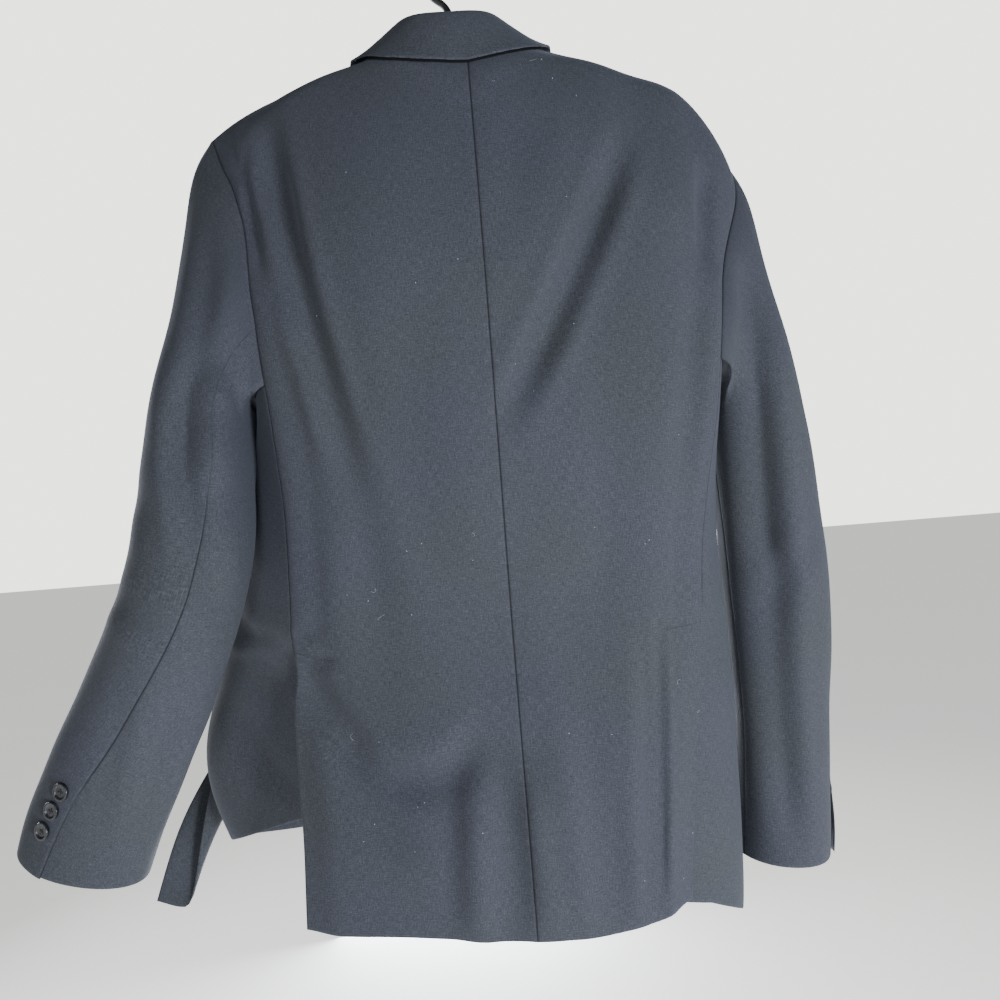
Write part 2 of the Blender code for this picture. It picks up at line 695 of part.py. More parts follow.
def lapel(hand, piece):
    """The front's own cloth above the top button, rolled round its edge and laid back on the chest."""
    grid, face = piece["front"], piece["faces"]["front"]
    points, ways = [], []
    for down in np.linspace(0, 1, LAPEL_ROWS + 1):
        width = LAPEL_WIDTH * (1 - down) ** LAPEL_TAPER + LAPEL_FOOT
        row, way = [], []
        level = LAPEL_TOP + (LAPEL_END - LAPEL_TOP) * down
        edge, out = spot(grid, face, level, -1e-6)
        near, _ = spot(grid, face, level, -0.004)
        beyond = unit(edge - near)
        for a, n, lean in LAPEL_ROLL:
            row.append(edge + (beyond * a + out * n) * MM)
            turn = math.radians(lean)
            way.append(unit(beyond * math.sin(turn) + out * math.cos(turn)))
        for step in np.linspace(0, 1, LAPEL_COLUMNS + 1)[1:]:
            slant = LAPEL_TOP - LAPEL_RISE * step
            own = slant + (LAPEL_END - slant) * down
            p, n = spot(grid, face, own, -width * step)
            spring = LAPEL_SPRING * math.exp(-width * step / LAPEL_SPRING_REACH)
            row.append(p + n * (WALL + LAPEL_LIFT + spring))
            way.append(n)
        points.append(row)
        ways.append(way)
    return wall(f"lapel_{hand}", np.array(points), np.array(ways))


def flat_piece(name, piece, level, slant, reach, width, depth, rows=3, columns=11):
    """A pocket's flap or welt: an oblong laid on a front, its lower edge a little rounded at the ends."""
    steps = np.linspace(0, 1, columns + 1)
    levels, reaches = [], []
    for down in np.linspace(0, 1, rows + 1):
        ends = 1 - 0.10 * (2 * np.abs(steps - 0.5)) ** 8
        levels.append(level + slant * steps + depth / MM * down * ends)
        reaches.append(reach + width * steps)
    lift = np.full((rows + 1, columns + 1), WALL + LIES_OFF)
    grid, face = patch(piece["front"], piece["faces"]["front"], levels, reaches, lift)
    return wall(name, grid, face)


# A button's section from the middle of its face, over the rim, to the middle of its back.
BUTTON_PROFILE = (
    # share of the radius, share of the thickness
    (0.0, 0.55),
    (0.62, 0.58),
    (0.74, 1.0),
    (0.93, 0.92),
    (1.0, 0.5),
    (0.86, 0.0),
    (0.0, 0.0),
)


def button(name, centre, way, radius, thick):
    """A turned button: a dished face inside a rounded rim, its back flat against the cloth."""
    way = unit(way)
    first = unit(np.cross(way, [0.3, 0.1, 1.0]))
    second = np.cross(way, first)
    count = 12
    points, rings = [], []
    for r, h in BUTTON_PROFILE:
        if r == 0:
            rings.append([len(points)])
            points.append(centre + way * h * thick)
            continue
        rings.append(list(range(len(points), len(points) + count)))
        for a in np.linspace(0, 2 * math.pi, count, endpoint=False):
            spoke = first * math.cos(a) + second * math.sin(a)
            points.append(centre + way * h * thick + spoke * r * radius)
    faces = []
    for above, below in zip(rings, rings[1:]):
        for k in range(count):
            n = (k + 1) % count
            if len(above) == 1:
                faces.append((above[0], below[k], below[n]))
            elif len(below) == 1:
                faces.append((above[k], below[0], above[n]))
            else:
                faces.append((above[k], below[k], below[n], above[n]))
    return add(name, points, faces, HORN, 0.35)


# ---------------------------------------------------------------- the collar
def cloth_tree(body):
    """The outer sides of the backs and fronts as one surface, for laying the collar over them."""
    points, faces = [], []
    for hand in body:
        for key in ("back", "front"):
            grid = body[hand][key]
            rows, columns = grid.shape[:2]
            first = len(points)
            points += [tuple(p) for p in grid.reshape(-1, 3)]
            for i in range(rows - 1):
                for j in range(columns - 1):
                    a = first + i * columns + j
                    quad = a, a + columns, a + columns + 1, a + 1
                    faces.append(quad if hand == "right" else quad[::-1])
    return BVHTree.FromPolygons(points, faces)


def laid(point, tree, least, most=None):
    """The point, moved if need be so that it stands at least (and at most) so far off the cloth."""
    near, way, _, gap = tree.find_nearest(Vector(point))
    off = np.array(point) - np.array(near)
    way = np.array(way)
    if gap > 1e-4 and abs(off @ way) > 0.2 * gap:
        way = off / gap * np.sign(off @ way)
        gap = gap * np.sign(off @ way)
    want = max(gap, least) if most is None else min(max(gap, least), most)
    return np.array(near) + way * want if want != gap else np.array(point)


def neckline(piece):
    """The neck edge of one half: along the back's top from the middle, then down the front's roll line."""
    low = int(np.searchsorted(LEVELS, NOTCH_LEVEL))
    seams = (
        (piece["back"][0, : SHOULDER_COLUMN + 1], piece["back"][1], piece["faces"]["back"][0]),
        (piece["front"][1 : low + 1, -1], piece["front"][1:, -2], piece["faces"]["front"][1:, -1]),
    )
    points = np.vstack([edge for edge, _, _ in seams])
    beyond = np.vstack([unit(edge - inner[: len(edge)]) for edge, inner, _ in seams])
    ways = np.vstack([way[: len(edge)] for edge, _, way in seams])
    run = np.concatenate([[0], np.cumsum(np.linalg.norm(np.diff(points, axis=0), axis=1))])
    neck = run[SHOULDER_COLUMN]
    last = np.interp(NOTCH_LEVEL - COLLAR_SHORT, LEVELS[: low + 1], run[SHOULDER_COLUMN:])
    place = np.where(run < neck, run / neck, 1 + (run - neck) / (last - neck))
    return place, np.hstack([points, beyond, ways])


def collar_half(piece, side):
    """One side's stations: places, the neckline, its way on, its normal, the roll and the fall's edge."""
    table = np.array(COLLAR, float)
    places = np.linspace(0, 2, COLLAR_ALONG + 1)
    read = spline(table[:, 0], table[:, 1:], places) * MM
    place, seam = neckline(piece)
    stations = np.column_stack([np.interp(places, place, seam[:, k]) for k in range(9)])
    foot, beyond, way = np.split(stations, 3, 1)
    roll, edge = read[:, :3].copy(), read[:, 3:].copy()
    for part in (roll, edge):
        part[:, 0] = part[:, 0] * side + COLLAR_MIDDLE_X * MM
    return places, foot, unit(beyond), unit(way), roll, edge


def collar(body):
    """The stand up from the neckline, the roll, and the fall over the cloth: one grid from notch to notch."""
    tree = cloth_tree(body)
    left, right = collar_half(body["left"], 1), collar_half(body["right"], -1)
    place, foot, beyond, way, roll, edge = (np.concatenate([r[:0:-1], l]) for l, r in zip(left, right))
    middle = COLLAR_ALONG
    foot[middle, 0] = CENTRE_BACK_X * MM
    lift = FALL_LIFT + CREST_LIFT * np.exp(-(((place - 1) / 0.16) ** 2))
    edge = np.array([laid(p, tree, h, h) for p, h in zip(edge, lift)])
    roll = np.array([laid(p, tree, FALL_LIFT) for p in roll])
    grid = []
    for k in range(len(foot)):
        start = foot[k] - way[k] * WALL + beyond[k] * COLLAR_OFF
        rise = beyond[k] * max(0.7 * np.linalg.norm(roll[k] - start), COLLAR_TURN)
        over = edge[k] - roll[k]
        outward = unit(over * [1, 1, 0])
        stand = np.linspace(0, 1, COLLAR_STAND + 1)[:-1]
        row = [blend(start, rise, roll[k], outward * CREST_TURN, u) for u in stand]
        to_end = min(k, len(foot) - 1 - k)
        gorge = GORGE * max(0, 1 - to_end / GORGE_REACH) ** 2
        for u in np.linspace(0, 1, COLLAR_OVER + 1):
            p = blend(roll[k], outward * FALL_SPRING * np.linalg.norm(over), edge[k], over, u)
            row.append(p - [0, 0, gorge * math.sin(math.pi * u) ** 1.5])
        grid.append(row)
    grid = np.array(grid)
    for k in range(len(grid)):
        for j in range(COLLAR_STAND + 1, COLLAR_STAND + COLLAR_OVER):
            grid[k, j] = laid(grid[k, j], tree, lift[k])
    face = unit(np.cross(np.gradient(grid, axis=1), np.gradient(grid, axis=0)))
    if face[middle, -1, 1] < 0:
        face = -face
    face[:, 0] = -way
    return grid, face


def undercollar(grid, face):
    """The felt under the fall: a thin dark line below the collar's edge that dies out at both ends."""
    first, last = COLLAR_ALONG // 2 + 1, COLLAR_ALONG + COLLAR_ALONG // 2 - 1
    rows, ways = [], []
    under = WALL + 2.5 * SEAM
    for k in range(first, last + 1):
        t = (k - first) / (last - first)
        down = unit(grid[k, -1] - grid[k, -2])
        shows = UNDERCOLLAR_SHOWS * (1 - 0.8 * (2 * t - 1) ** 4)
        inner = grid[k] - face[k] * under
        rows.append([inner[-3], inner[-2], inner[-1], inner[-1] + down * shows])
        ways.append([face[k, -3], face[k, -2], face[k, -1], face[k, -1]])
    return np.array(rows), np.array(ways)


# ---------------------------------------------------------------- the hanger
def clear_height(tree, x, y, depth, tall):
    """The highest centre, at this place, of an oval bar that stays inside the cloth."""
    low, high = -0.30, -0.05
    a = np.linspace(0, math.pi, 13)
    for _ in range(24):
        z = (low + high) / 2
        ring = np.column_stack([np.full(13, x), y + np.cos(a) * depth, z + np.sin(a) * tall])
        inside = True
        for p in ring:
            near, way, _, gap = tree.find_nearest(Vector(p))
            inside &= (Vector(p) - near).dot(way) < 0 and gap > WALL + HANGER_CLEAR
        low, high = (z, high) if inside else (low, z)
    return low


def bar_section(x):
    """Half depth and half height of the hanger's bar, so far from its middle."""
    return BAR_MIDDLE + (BAR_END - BAR_MIDDLE) * x / HANGER_HALF_SPAN


def hanger_body(body):
    """A contoured bar, broader towards its ends; the shoulders lie on it."""
    tree = cloth_tree(body)
    high = [min(clear_height(tree, x * s, HANGER_Y, *bar_section(x)) for s in (1, -1)) for x in BAR_STATIONS]
    knots = np.concatenate([[0, 0.04], BAR_STATIONS, [HANGER_HALF_SPAN]])
    slope = (high[-2] - high[-1]) / (BAR_STATIONS[-1] - BAR_STATIONS[-2])
    end = high[-1] - slope * (HANGER_HALF_SPAN - BAR_STATIONS[-1])
    centre = HANGER_CENTRE_TOP - BAR_MIDDLE[1]
    heights = np.concatenate([[centre, centre - 0.001], high, [end - 0.002]])
    count, around = 22, 12
    points = []
    for x in np.linspace(-HANGER_HALF_SPAN, HANGER_HALF_SPAN, count + 1):
        tip = 1 - 0.4 * smooth((abs(x) / HANGER_HALF_SPAN - 0.94) / 0.06)
        depth, tall = bar_section(abs(x)) * tip
        z = np.interp(abs(x), knots, heights)
        for a in np.linspace(0, 2 * math.pi, around, endpoint=False):
            points.append((x, math.cos(a) * depth + HANGER_Y, math.sin(a) * tall + z))
    return rod("hanger_body", np.array(points), count + 1, around, 0.4)


def rod(name, points, rings, around, roughness):
    """A closed bar through rings of points."""
    faces = []
    for i in range(rings - 1):
        for k in range(around):
            n = (k + 1) % around
            a, b = i * around, (i + 1) * around
            faces.append((a + k, a + n, b + n, b + k))
    faces.append(tuple(reversed(range(around))))
    faces.append(tuple(range((rings - 1) * around, rings * around)))
    return add(name, points, faces, PLASTIC, roughness)


def hanger_hook():
    """A round rod that swings aside and bends over the rail; the origin is the top inside the bend."""
    bend = HOOK_INNER + HOOK_ROD
    swing, sweep = math.radians(HOOK_SWING), math.radians(HOOK_SWEEP)
    turn_z = -HOOK_INNER - 2 * bend * math.sin(swing)
    path = [(0, 0, z) for z in np.linspace(HANGER_CENTRE_TOP + SEAM, turn_z, 6)[:-1]]
    path += [(bend * (1 - math.cos(a)), 0, turn_z + bend * math.sin(a)) for a in np.linspace(0, swing, 6)]
    path += [
        (bend * math.cos(a), 0, bend * math.sin(a) - HOOK_INNER)
        for a in np.linspace(-swing, sweep, 19)[1:]
    ]
    path = np.array(path)
    around = 8
    along = unit(np.gradient(path, axis=0))
    along[0] = (0, 0, 1)
    side_way = np.array([0, 1.0, 0])
    points = []
    for p, t in zip(path, along):
        up = np.cross(t, side_way)
        for a in np.linspace(0, 2 * math.pi, around, endpoint=False):
            points.append(p + HOOK_ROD * (math.cos(a) * side_way + math.sin(a) * up))
    return rod("hanger_hook", np.array(points), len(path), around, 0.35)


# ---------------------------------------------------------------- build
def clear_scene():
    for item in list(bpy.data.objects):
        bpy.data.objects.remove(item, do_unlink=True)


def build_body():
    pieces = {}
    for side in (1, -1):
        hand = "left" if side > 0 else "right"
        back = back_grid(side)
        front = front_grid(side, back)
        panel = side_grid(side, back, front)
        faces = {"back": normals(back, side), "side": normals(panel, side), "front": normals(front, side)}
        middle = faces["back"][:, 0]
        middle[:, 0] = 0
        faces["back"][:, 0] = unit(middle)
        front_top = resampled(faces["front"][0], 2 * COLUMNS_BACK + 1)
        top = shared(faces["back"][0, SHOULDER_COLUMN:][::-1], front_top)
        faces["back"][0, SHOULDER_COLUMN:] = top[::-1]
        faces["front"][0] = unit(resampled(top, COLUMNS_FRONT + 1))
        rows = slice(UNDERARM, VENT + 1)
        seam = shared(faces["back"][rows, -1], faces["side"][: VENT - UNDERARM + 1, 0])
        faces["back"][rows, -1] = seam
        faces["side"][: VENT - UNDERARM + 1, 0] = seam
        seam = shared(faces["front"][UNDERARM:, 0], faces["side"][:, -1])
        faces["front"][UNDERARM:, 0] = seam
        faces["side"][:, -1] = seam
        pieces[hand] = {"back": back, "side": panel, "front": front, "faces": faces}
    return pieces


def cuff_buttons(hand, grid, face):
    """Small buttons in a row up from the cuff, on the top sleeve beside its seam."""
    run = np.linalg.norm(np.diff(grid[:, -1], axis=0), axis=1)[::-1].cumsum()
    for k in range(CUFF_BUTTONS):
        up = np.interp(CUFF_BUTTON_FIRST + k * CUFF_BUTTON_PITCH, run, np.arange(1, len(run) + 1))
        centre, way = beside(grid, face, len(grid) - 1 - up, -CUFF_BUTTON_INSET)
        button(f"cuff_button_{hand}_{k + 1}", centre + way * SEAM, way, CUFF_BUTTON_RADIUS, CUFF_BUTTON_THICK)


def sleeve_of(piece, side):
    """One arm's tube and its normals; the panels round the armhole take the same normals at that seam."""
    faces = piece["faces"]
    loop = armhole(piece["back"][:, -1], piece["side"][0], piece["front"][:, 0])
    tube, order, under = sleeve_tube(LEFT_ARM if side > 0 else RIGHT_ARM, side, loop)
    face = sleeve_normals(tube, side)
    body_face = armhole(faces["back"][:, -1], faces["side"][0], faces["front"][:, 0])
    body_face[0] = body_face[-1] = unit(body_face[0] + body_face[-1])
    face[0] = shared(face[0], body_face[order])
    meet = np.empty_like(body_face)
    meet[order] = face[0]
    meet[0] = meet[-1]
    faces["back"][: UNDERARM + 1, -1] = meet[: UNDERARM + 1]
    faces["side"][0] = meet[UNDERARM : UNDERARM + COLUMNS_SIDE + 1]
    faces["front"][: UNDERARM + 1, 0] = meet[-1 : -UNDERARM - 2 : -1]
    return tube, face, under


def build_panels(hand, piece):
    faces = piece["faces"]
    wall(f"back_{hand}", drawn_in(piece["back"], top=True, first=True, last=True), faces["back"])
    wall(f"side_{hand}", drawn_in(piece["side"], top=True, first=True, last=True), faces["side"])
    wall(f"front_{hand}", drawn_in(piece["front"], top=True, first=True), faces["front"])


def build_sleeve(hand, tube, face, under):
    """The under sleeve and the top sleeve, with the cuff's buttons on the top sleeve."""
    for which, columns in (("under", slice(0, under + 1)), ("top", slice(under, None))):
        cloth = drawn_in(tube[:, columns], top=True, first=True, last=True)
        wall(f"{which}_sleeve_{hand}", cloth, face[:, columns])
        if which == "top":
            cuff_buttons(hand, cloth, face[:, columns])


def front_buttons(piece):
    """The buttons down the front that lies under when it is done up."""
    for k in range(FRONT_BUTTONS):
        level = BUTTON_LEVEL + FRONT_BUTTON_DROP + k * BUTTON_PITCH
        centre, way = spot(piece["front"], piece["faces"]["front"], level, -FRONT_BUTTON_INSET)
        button(f"front_button_{k + 1}", centre + way * SEAM, way, FRONT_BUTTON_RADIUS, FRONT_BUTTON_THICK)


def main():
    clear_scene()
    body = build_body()
    for hand, side in (("left", 1), ("right", -1)):
        piece = body[hand]
        tube, face, under = sleeve_of(piece, side)
        build_panels(hand, piece)
        build_sleeve(hand, tube, face, under)
        lapel(hand, piece)
        flap = f"pocket_flap_{hand}"
        flat_piece(flap, piece, FLAP_LEVEL, FLAP_SLANT, FLAP_INSET, FLAP_WIDTH, FLAP_DEPTH)
    welt = WELT_LEVEL, WELT_SLANT, WELT_INSET, WELT_WIDTH, WELT_DEPTH
    flat_piece("breast_welt", body["left"], *welt, rows=2)
    front_buttons(body["right"])
    grid, face = collar(body)
    wall("collar", grid, face)
    felt, felt_face = undercollar(grid, face)
    wall("undercollar", felt, felt_face, MELTON, UNDERCOLLAR_THICK)
    hanger_body(body)
    hanger_hook()


main()
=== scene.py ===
# %% [markdown]
# # A suit jacket on a hanger, dressed
# The frame holds the jacket's solids: plain, true to size, and few-sided. Here each cloth piece is drawn
# again as a fine, thin sheet on the same lines, with its creases, seams and edges, and then it gets its
# finish. The jacket's back faces +Y, the wearer's left is +X, and the origin is inside the hanger's hook.

# %% Load the frame
import math

import bpy
import numpy as np
from mathutils import Matrix, Vector
from mathutils.bvhtree import BVHTree


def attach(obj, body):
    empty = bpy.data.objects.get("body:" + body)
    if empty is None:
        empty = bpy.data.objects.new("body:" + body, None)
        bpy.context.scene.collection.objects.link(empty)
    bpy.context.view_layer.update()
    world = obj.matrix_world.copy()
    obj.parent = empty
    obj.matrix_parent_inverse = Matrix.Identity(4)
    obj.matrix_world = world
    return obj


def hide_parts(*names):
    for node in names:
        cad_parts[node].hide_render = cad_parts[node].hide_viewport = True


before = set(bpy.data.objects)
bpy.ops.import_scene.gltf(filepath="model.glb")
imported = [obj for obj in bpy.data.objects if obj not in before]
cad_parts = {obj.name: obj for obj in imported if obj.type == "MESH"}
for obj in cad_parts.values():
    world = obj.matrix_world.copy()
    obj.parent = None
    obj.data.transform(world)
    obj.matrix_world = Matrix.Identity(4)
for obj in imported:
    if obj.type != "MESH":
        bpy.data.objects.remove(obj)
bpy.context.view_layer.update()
bpy.ops.object.select_all(action="DESELECT")

# %% [markdown]
# ## The camera
# The jacket is seen from straight behind, from close by, with the camera a little rolled. A short lens at
# this distance makes what is nearer look larger, as it does for a phone held at arm's length.

# %% Camera
VIEW_YAW, VIEW_ROLL, VIEW_DISTANCE = math.radians(1.5), math.radians(4.5), 0.61
VIEW_TARGET = Vector((-0.009, 0.07, -0.5085))

ahead = -Vector((math.sin(VIEW_YAW), math.cos(VIEW_YAW), 0))
level_right = -Vector((math.cos(VIEW_YAW), -math.sin(VIEW_YAW), 0))
upright = Vector((0, 0, 1))
rolled_right = level_right * math.cos(VIEW_ROLL) - upright * math.sin(VIEW_ROLL)
rolled_up = upright * math.cos(VIEW_ROLL) + level_right * math.sin(VIEW_ROLL)
placed = Matrix((rolled_right, rolled_up, -ahead)).transposed().to_4x4()
placed.translation = VIEW_TARGET - ahead * VIEW_DISTANCE
bpy.ops.object.camera_add()
camera = bpy.context.object
camera.name = "camera"
camera.matrix_world = placed
camera.data.lens = 26
camera.data.clip_start = 0.02
bpy.context.scene.camera = camera
print("camera at", [round(v, 3) for v in camera.location])

# %% [markdown]
# ## Sizes and the lines of the garment
# A tailor thinks of a jacket as lines: the centre back, the side seams, the armhole, the roll of the
# front. Each table below is one such line, read down the garment. The cloth between two lines is an arc
# that leaves each one in the direction it gives, so a few rows describe a whole panel.

# %% Driving sizes
WALL = 0.002  # cloth with its interlining
MM = 0.001
DETAIL = 4  # how many rows and columns of cloth stand for one of the frame's
SEAM_LAP = 0.0001  # neighbours run this far into each other, so that no light comes through a seam

ARMHOLE_LEVEL, VENT_LEVEL, HEM_LEVEL = 300.0, 535.0, 775.0  # mm down the garment from the neck
BUTTON_LEVEL, BUTTON_PITCH, NOTCH_LEVEL = 400.0, 100.0, 84.0
ROWS_ARMHOLE, ROWS_WAIST, ROWS_VENT = 12 * DETAIL, 6 * DETAIL, 7 * DETAIL
COLUMNS_BACK, COLUMNS_SIDE, COLUMNS_FRONT = 4 * DETAIL, 6 * DETAIL, 12 * DETAIL
ROWS_CAP, ROWS_ARM = 8 * DETAIL, 15 * DETAIL
VENT_SINK = 0.0045  # how far the side panel lies behind the back at a closed vent
LAPEL_WIDTH, LAPEL_LIFT = 0.076, 0.0015
LAPEL_FOOT, LAPEL_TAPER, LAPEL_RISE = 0.006, 0.85, 12.0
LAPEL_SPRING, LAPEL_SPRING_REACH = 0.0022, 0.016
LAPEL_TOP, LAPEL_END = NOTCH_LEVEL + 7, BUTTON_LEVEL - 8
# The roll round the front's edge: how far beyond it and out from its cloth (mm), and the way it faces.
LAPEL_ROLL = (
    # beyond, out, lean
    (0.6, -2.0, 180),
    (3.0, -1.6, 140),
    (4.6, 0.6, 95),
    (4.3, 3.2, 60),
    (2.2, 5.0, 20),
    (0.0, 5.3, 0),
)
FLAP_WIDTH, FLAP_DEPTH, FLAP_LEVEL, FLAP_SLANT, FLAP_INSET = 0.105, 0.052, 556, 6, 0.014
WELT_WIDTH, WELT_DEPTH, WELT_LEVEL, WELT_SLANT, WELT_INSET = 0.080, 0.024, 206, 8, 0.010
LIES_OFF = 0.0016
FRONT_BUTTONS, FRONT_BUTTON_INSET, FRONT_BUTTON_DROP = 2, 0.018, 2
FRONT_BUTTON_RADIUS, FRONT_BUTTON_THICK = 0.010, 0.0032
CUFF_BUTTON_RADIUS, CUFF_BUTTON_THICK = 0.0075, 0.0026
CUFF_BUTTONS, CUFF_BUTTON_PITCH, CUFF_BUTTON_FIRST, CUFF_BUTTON_INSET = 3, 0.019, 0.038, 0.014
print("mm down from the neck: underarm", ARMHOLE_LEVEL, "vent", VENT_LEVEL, "hem", HEM_LEVEL)

# %% [markdown]
# ## The back's lines
# A real back is chalked on the cloth from a few measures: the centre seam, the side seam, and how full it
# is between them. The lines could be drawn by hand as curves, but a short table is easier to read and to
# correct. A row is one level of the garment. Its last number is the way the cloth heads there as seen
# from above: 0 outwards, 90 forwards, 180 back towards the middle.

# %% The back's lines
# Columns, in mm and degrees: level down the garment, x sideways, y towards the back, z height, heading.
CENTRE_BACK_X = -11
CENTRE_BACK = (
    # level, y, z
    (0, 50, -114),
    (20, 61, -134),
    (60, 70, -170),
    (130, 79, -232),
    (215, 86, -318),
    (300, 84, -400),
    (410, 73, -505),
    (535, 67, -627),
    (610, 75, -700),
    (695, 84, -785),
    (775, 92, -870),
)
LEFT_BACK_MIDDLE = (
    (0, 74, 0, -86, 0),
    (20, 84, 27, -106, 4),
    (60, 92, 48, -130, 8),
    (130, 95, 70, -206, 10),
    (215, 96, 80, -302, 12),
    (300, 94, 78, -394, 12),
    (410, 92, 69, -505, 12),
    (535, 92, 62, -627, 10),
    (610, 94, 69, -700, 8),
    (695, 95, 79, -785, 8),
    (775, 96, 85, -861, 8),
)
LEFT_BACK_OUTER = (
    (0, 180, 0, -123, 2),
    (20, 176, 24, -139, 12),
    (60, 170, 42, -166, 18),
    (130, 162, 58, -235, 24),
    (215, 157, 67, -314, 26),
    (300, 153, 67, -393, 28),
    (410, 148, 60, -504, 28),
    (535, 150, 54, -627, 24),
    (610, 152, 60, -700, 14),
    (695, 150, 71, -784, 10),
    (775, 148, 77, -859, 8),
)
LEFT_BACK_EDGE = (
    (0, 231, -2, -152, 10),
    (20, 221, 13, -180, 30),
    (60, 209, 27, -208, 40),
    (130, 198, 41, -260, 45),
    (215, 191, 50, -325, 45),
    (300, 185, 51, -394, 45),
    (410, 178, 46, -504, 45),
    (535, 183, 42, -627, 34),
    (610, 185, 47, -698, 18),
    (695, 181, 59, -780, 14),
    (775, 182, 66, -857, 12),
)
RIGHT_BACK_MIDDLE = (
    (0, 72, 0, -84, 0),
    (20, 83, 27, -107, 4),
    (60, 91, 48, -130, 8),
    (130, 94, 70, -208, 10),
    (215, 94, 80, -305, 12),
    (300, 92, 79, -397, 12),
    (410, 88, 71, -506, 12),
    (535, 82, 65, -627, 10),
    (610, 78, 72, -701, 8),
    (695, 74, 82, -787, 6),
    (775, 70, 90, -872, 6),
)
RIGHT_BACK_OUTER = (
    (0, 198, 0, -132, 4),
    (20, 200, 20, -146, 16),
    (60, 198, 38, -178, 22),
    (130, 190, 57, -242, 26),
    (215, 180, 67, -322, 28),
    (300, 174, 69, -399, 28),
    (410, 160, 63, -506, 28),
    (535, 146, 60, -627, 24),
    (610, 138, 65, -702, 16),
    (695, 128, 72, -788, 12),
    (775, 118, 80, -870, 12),
)
RIGHT_BACK_EDGE = (
    (0, 238, -23, -175, 40),
    (20, 247, -8, -197, 50),
    (60, 253, 11, -231, 52),
    (130, 239, 32, -276, 50),
    (215, 220, 50, -336, 52),
    (300, 212, 54, -400, 58),
    (410, 194, 50, -505, 50),
    (535, 180, 47, -627, 36),
    (610, 171, 50, -705, 24),
    (695, 159, 54, -791, 20),
    (775, 150, 57, -867, 20),
)
print("centre back", CENTRE_BACK[0][2] - CENTRE_BACK[-1][2], "mm from the neck to the hem")

# %% [markdown]
# ## The fronts' lines
# The right front hangs straight. The left front is drawn out to the side below its button, so its lines
# swing outwards and forwards on the way down, and the cloth between them turns into one long soft roll.
# The left side panel follows it, and so leaves the back's edge at the vent.

# %% The fronts' lines
# The same columns, from the armhole to the buttoned edge.
LEFT_FRONT_ARMHOLE = (
    (0, 231, -2, -152, 170),
    (20, 225, -20, -176, 165),
    (60, 214, -38, -210, 156),
    (130, 203, -48, -270, 150),
    (215, 198, -42, -345, 138),
    (300, 204, -18, -404, 104),
    (420, 238, -46, -502, 96),
    (535, 270, -58, -628, 92),
    (650, 304, -72, -735, 90),
    (775, 292, -78, -838, 80),
)
LEFT_FRONT_FOLD = (
    (0, 192, 0, -129, 176),
    (60, 190, -58, -204, 172),
    (130, 180, -78, -272, 170),
    (215, 172, -90, -350, 162),
    (300, 168, -98, -418, 158),
    (420, 168, -110, -512, 152),
    (535, 176, -126, -628, 140),
    (650, 190, -138, -745, 112),
    (775, 220, -136, -850, 40),
)
LEFT_FRONT_PINCH = (
    (0, 152, 0, -113, 178),
    (60, 155, -66, -196, 176),
    (130, 148, -90, -268, 176),
    (215, 140, -105, -352, 172),
    (300, 134, -116, -420, 166),
    (420, 130, -136, -514, 134),
    (535, 156, -164, -624, 50),
    (650, 214, -158, -728, 0),
    (775, 306, -90, -776, -12),
)
LEFT_FRONT_STRIP = (
    (0, 113, 0, -99, 179),
    (60, 118, -66, -172, 178),
    (130, 118, -93, -252, 178),
    (215, 114, -111, -346, 178),
    (300, 108, -124, -420, 168),
    (420, 118, -154, -512, 84),
    (535, 180, -178, -622, 2),
    (650, 262, -138, -736, -16),
    (715, 320, -112, -822, -8),
    (775, 350, -87, -908, 0),
)
LEFT_FRONT_EDGE = (
    (0, 74, 0, -86, 180),
    (60, 78, -52, -138, 180),
    (130, 88, -88, -232, 180),
    (215, 90, -112, -340, 180),
    (300, 94, -130, -420, 170),
    (420, 136, -166, -510, 40),
    (535, 216, -166, -618, -14),
    (650, 300, -118, -742, -10),
    (715, 349, -100, -820, -4),
    (775, 378, -86, -899, 0),
)
RIGHT_FRONT_ARMHOLE = (
    (0, 238, -23, -175, 170),
    (20, 233, -36, -194, 166),
    (60, 226, -50, -224, 160),
    (130, 214, -60, -282, 152),
    (215, 206, -52, -350, 142),
    (300, 210, -20, -412, 106),
    (420, 213, -22, -515, 104),
    (535, 216, -24, -632, 100),
    (650, 219, -20, -768, 96),
    (775, 211, -14, -920, 96),
)
RIGHT_FRONT_MIDDLE = (
    (0, 155, 0, -114, 178),
    (60, 152, -68, -200, 176),
    (130, 146, -86, -272, 178),
    (215, 140, -94, -355, 178),
    (300, 138, -97, -424, 176),
    (420, 138, -94, -520, 172),
    (535, 138, -94, -636, 170),
    (650, 138, -95, -770, 168),
    (775, 136, -94, -912, 168),
)
RIGHT_FRONT_EDGE = (
    (0, 72, 0, -84, 180),
    (60, 76, -51, -137, 180),
    (130, 68, -84, -222, 180),
    (215, 50, -102, -318, 180),
    (300, 30, -110, -406, 180),
    (400, 12, -113, -502, 180),
    (535, 12, -112, -640, 178),
    (650, 18, -112, -770, 176),
    (730, 36, -112, -862, 174),
    (775, 72, -110, -909, 172),
)
# The left side panel swings out at its vent, so its back edge leaves the back's there.
LEFT_SIDE_VENT = (
    (535, 183, 42, -627, 48),
    (610, 181, 29, -688, 44),
    (695, 177, 15, -745, 40),
    (775, 172, 6, -786, 38),
)
print("hem corners are out by", LEFT_FRONT_EDGE[-1][1], "and", RIGHT_FRONT_EDGE[-1][1], "mm, left and right")

# %% [markdown]
# ## The arms
# A hanging sleeve is a tube that bends a little at the elbow, and here the left one also swings away from
# the body. Each row is a ring round the arm: its centre, its half width and half depth, and where the
# hind-arm seam runs round it, with 0 outwards, 90 at the back and 180 at the body.

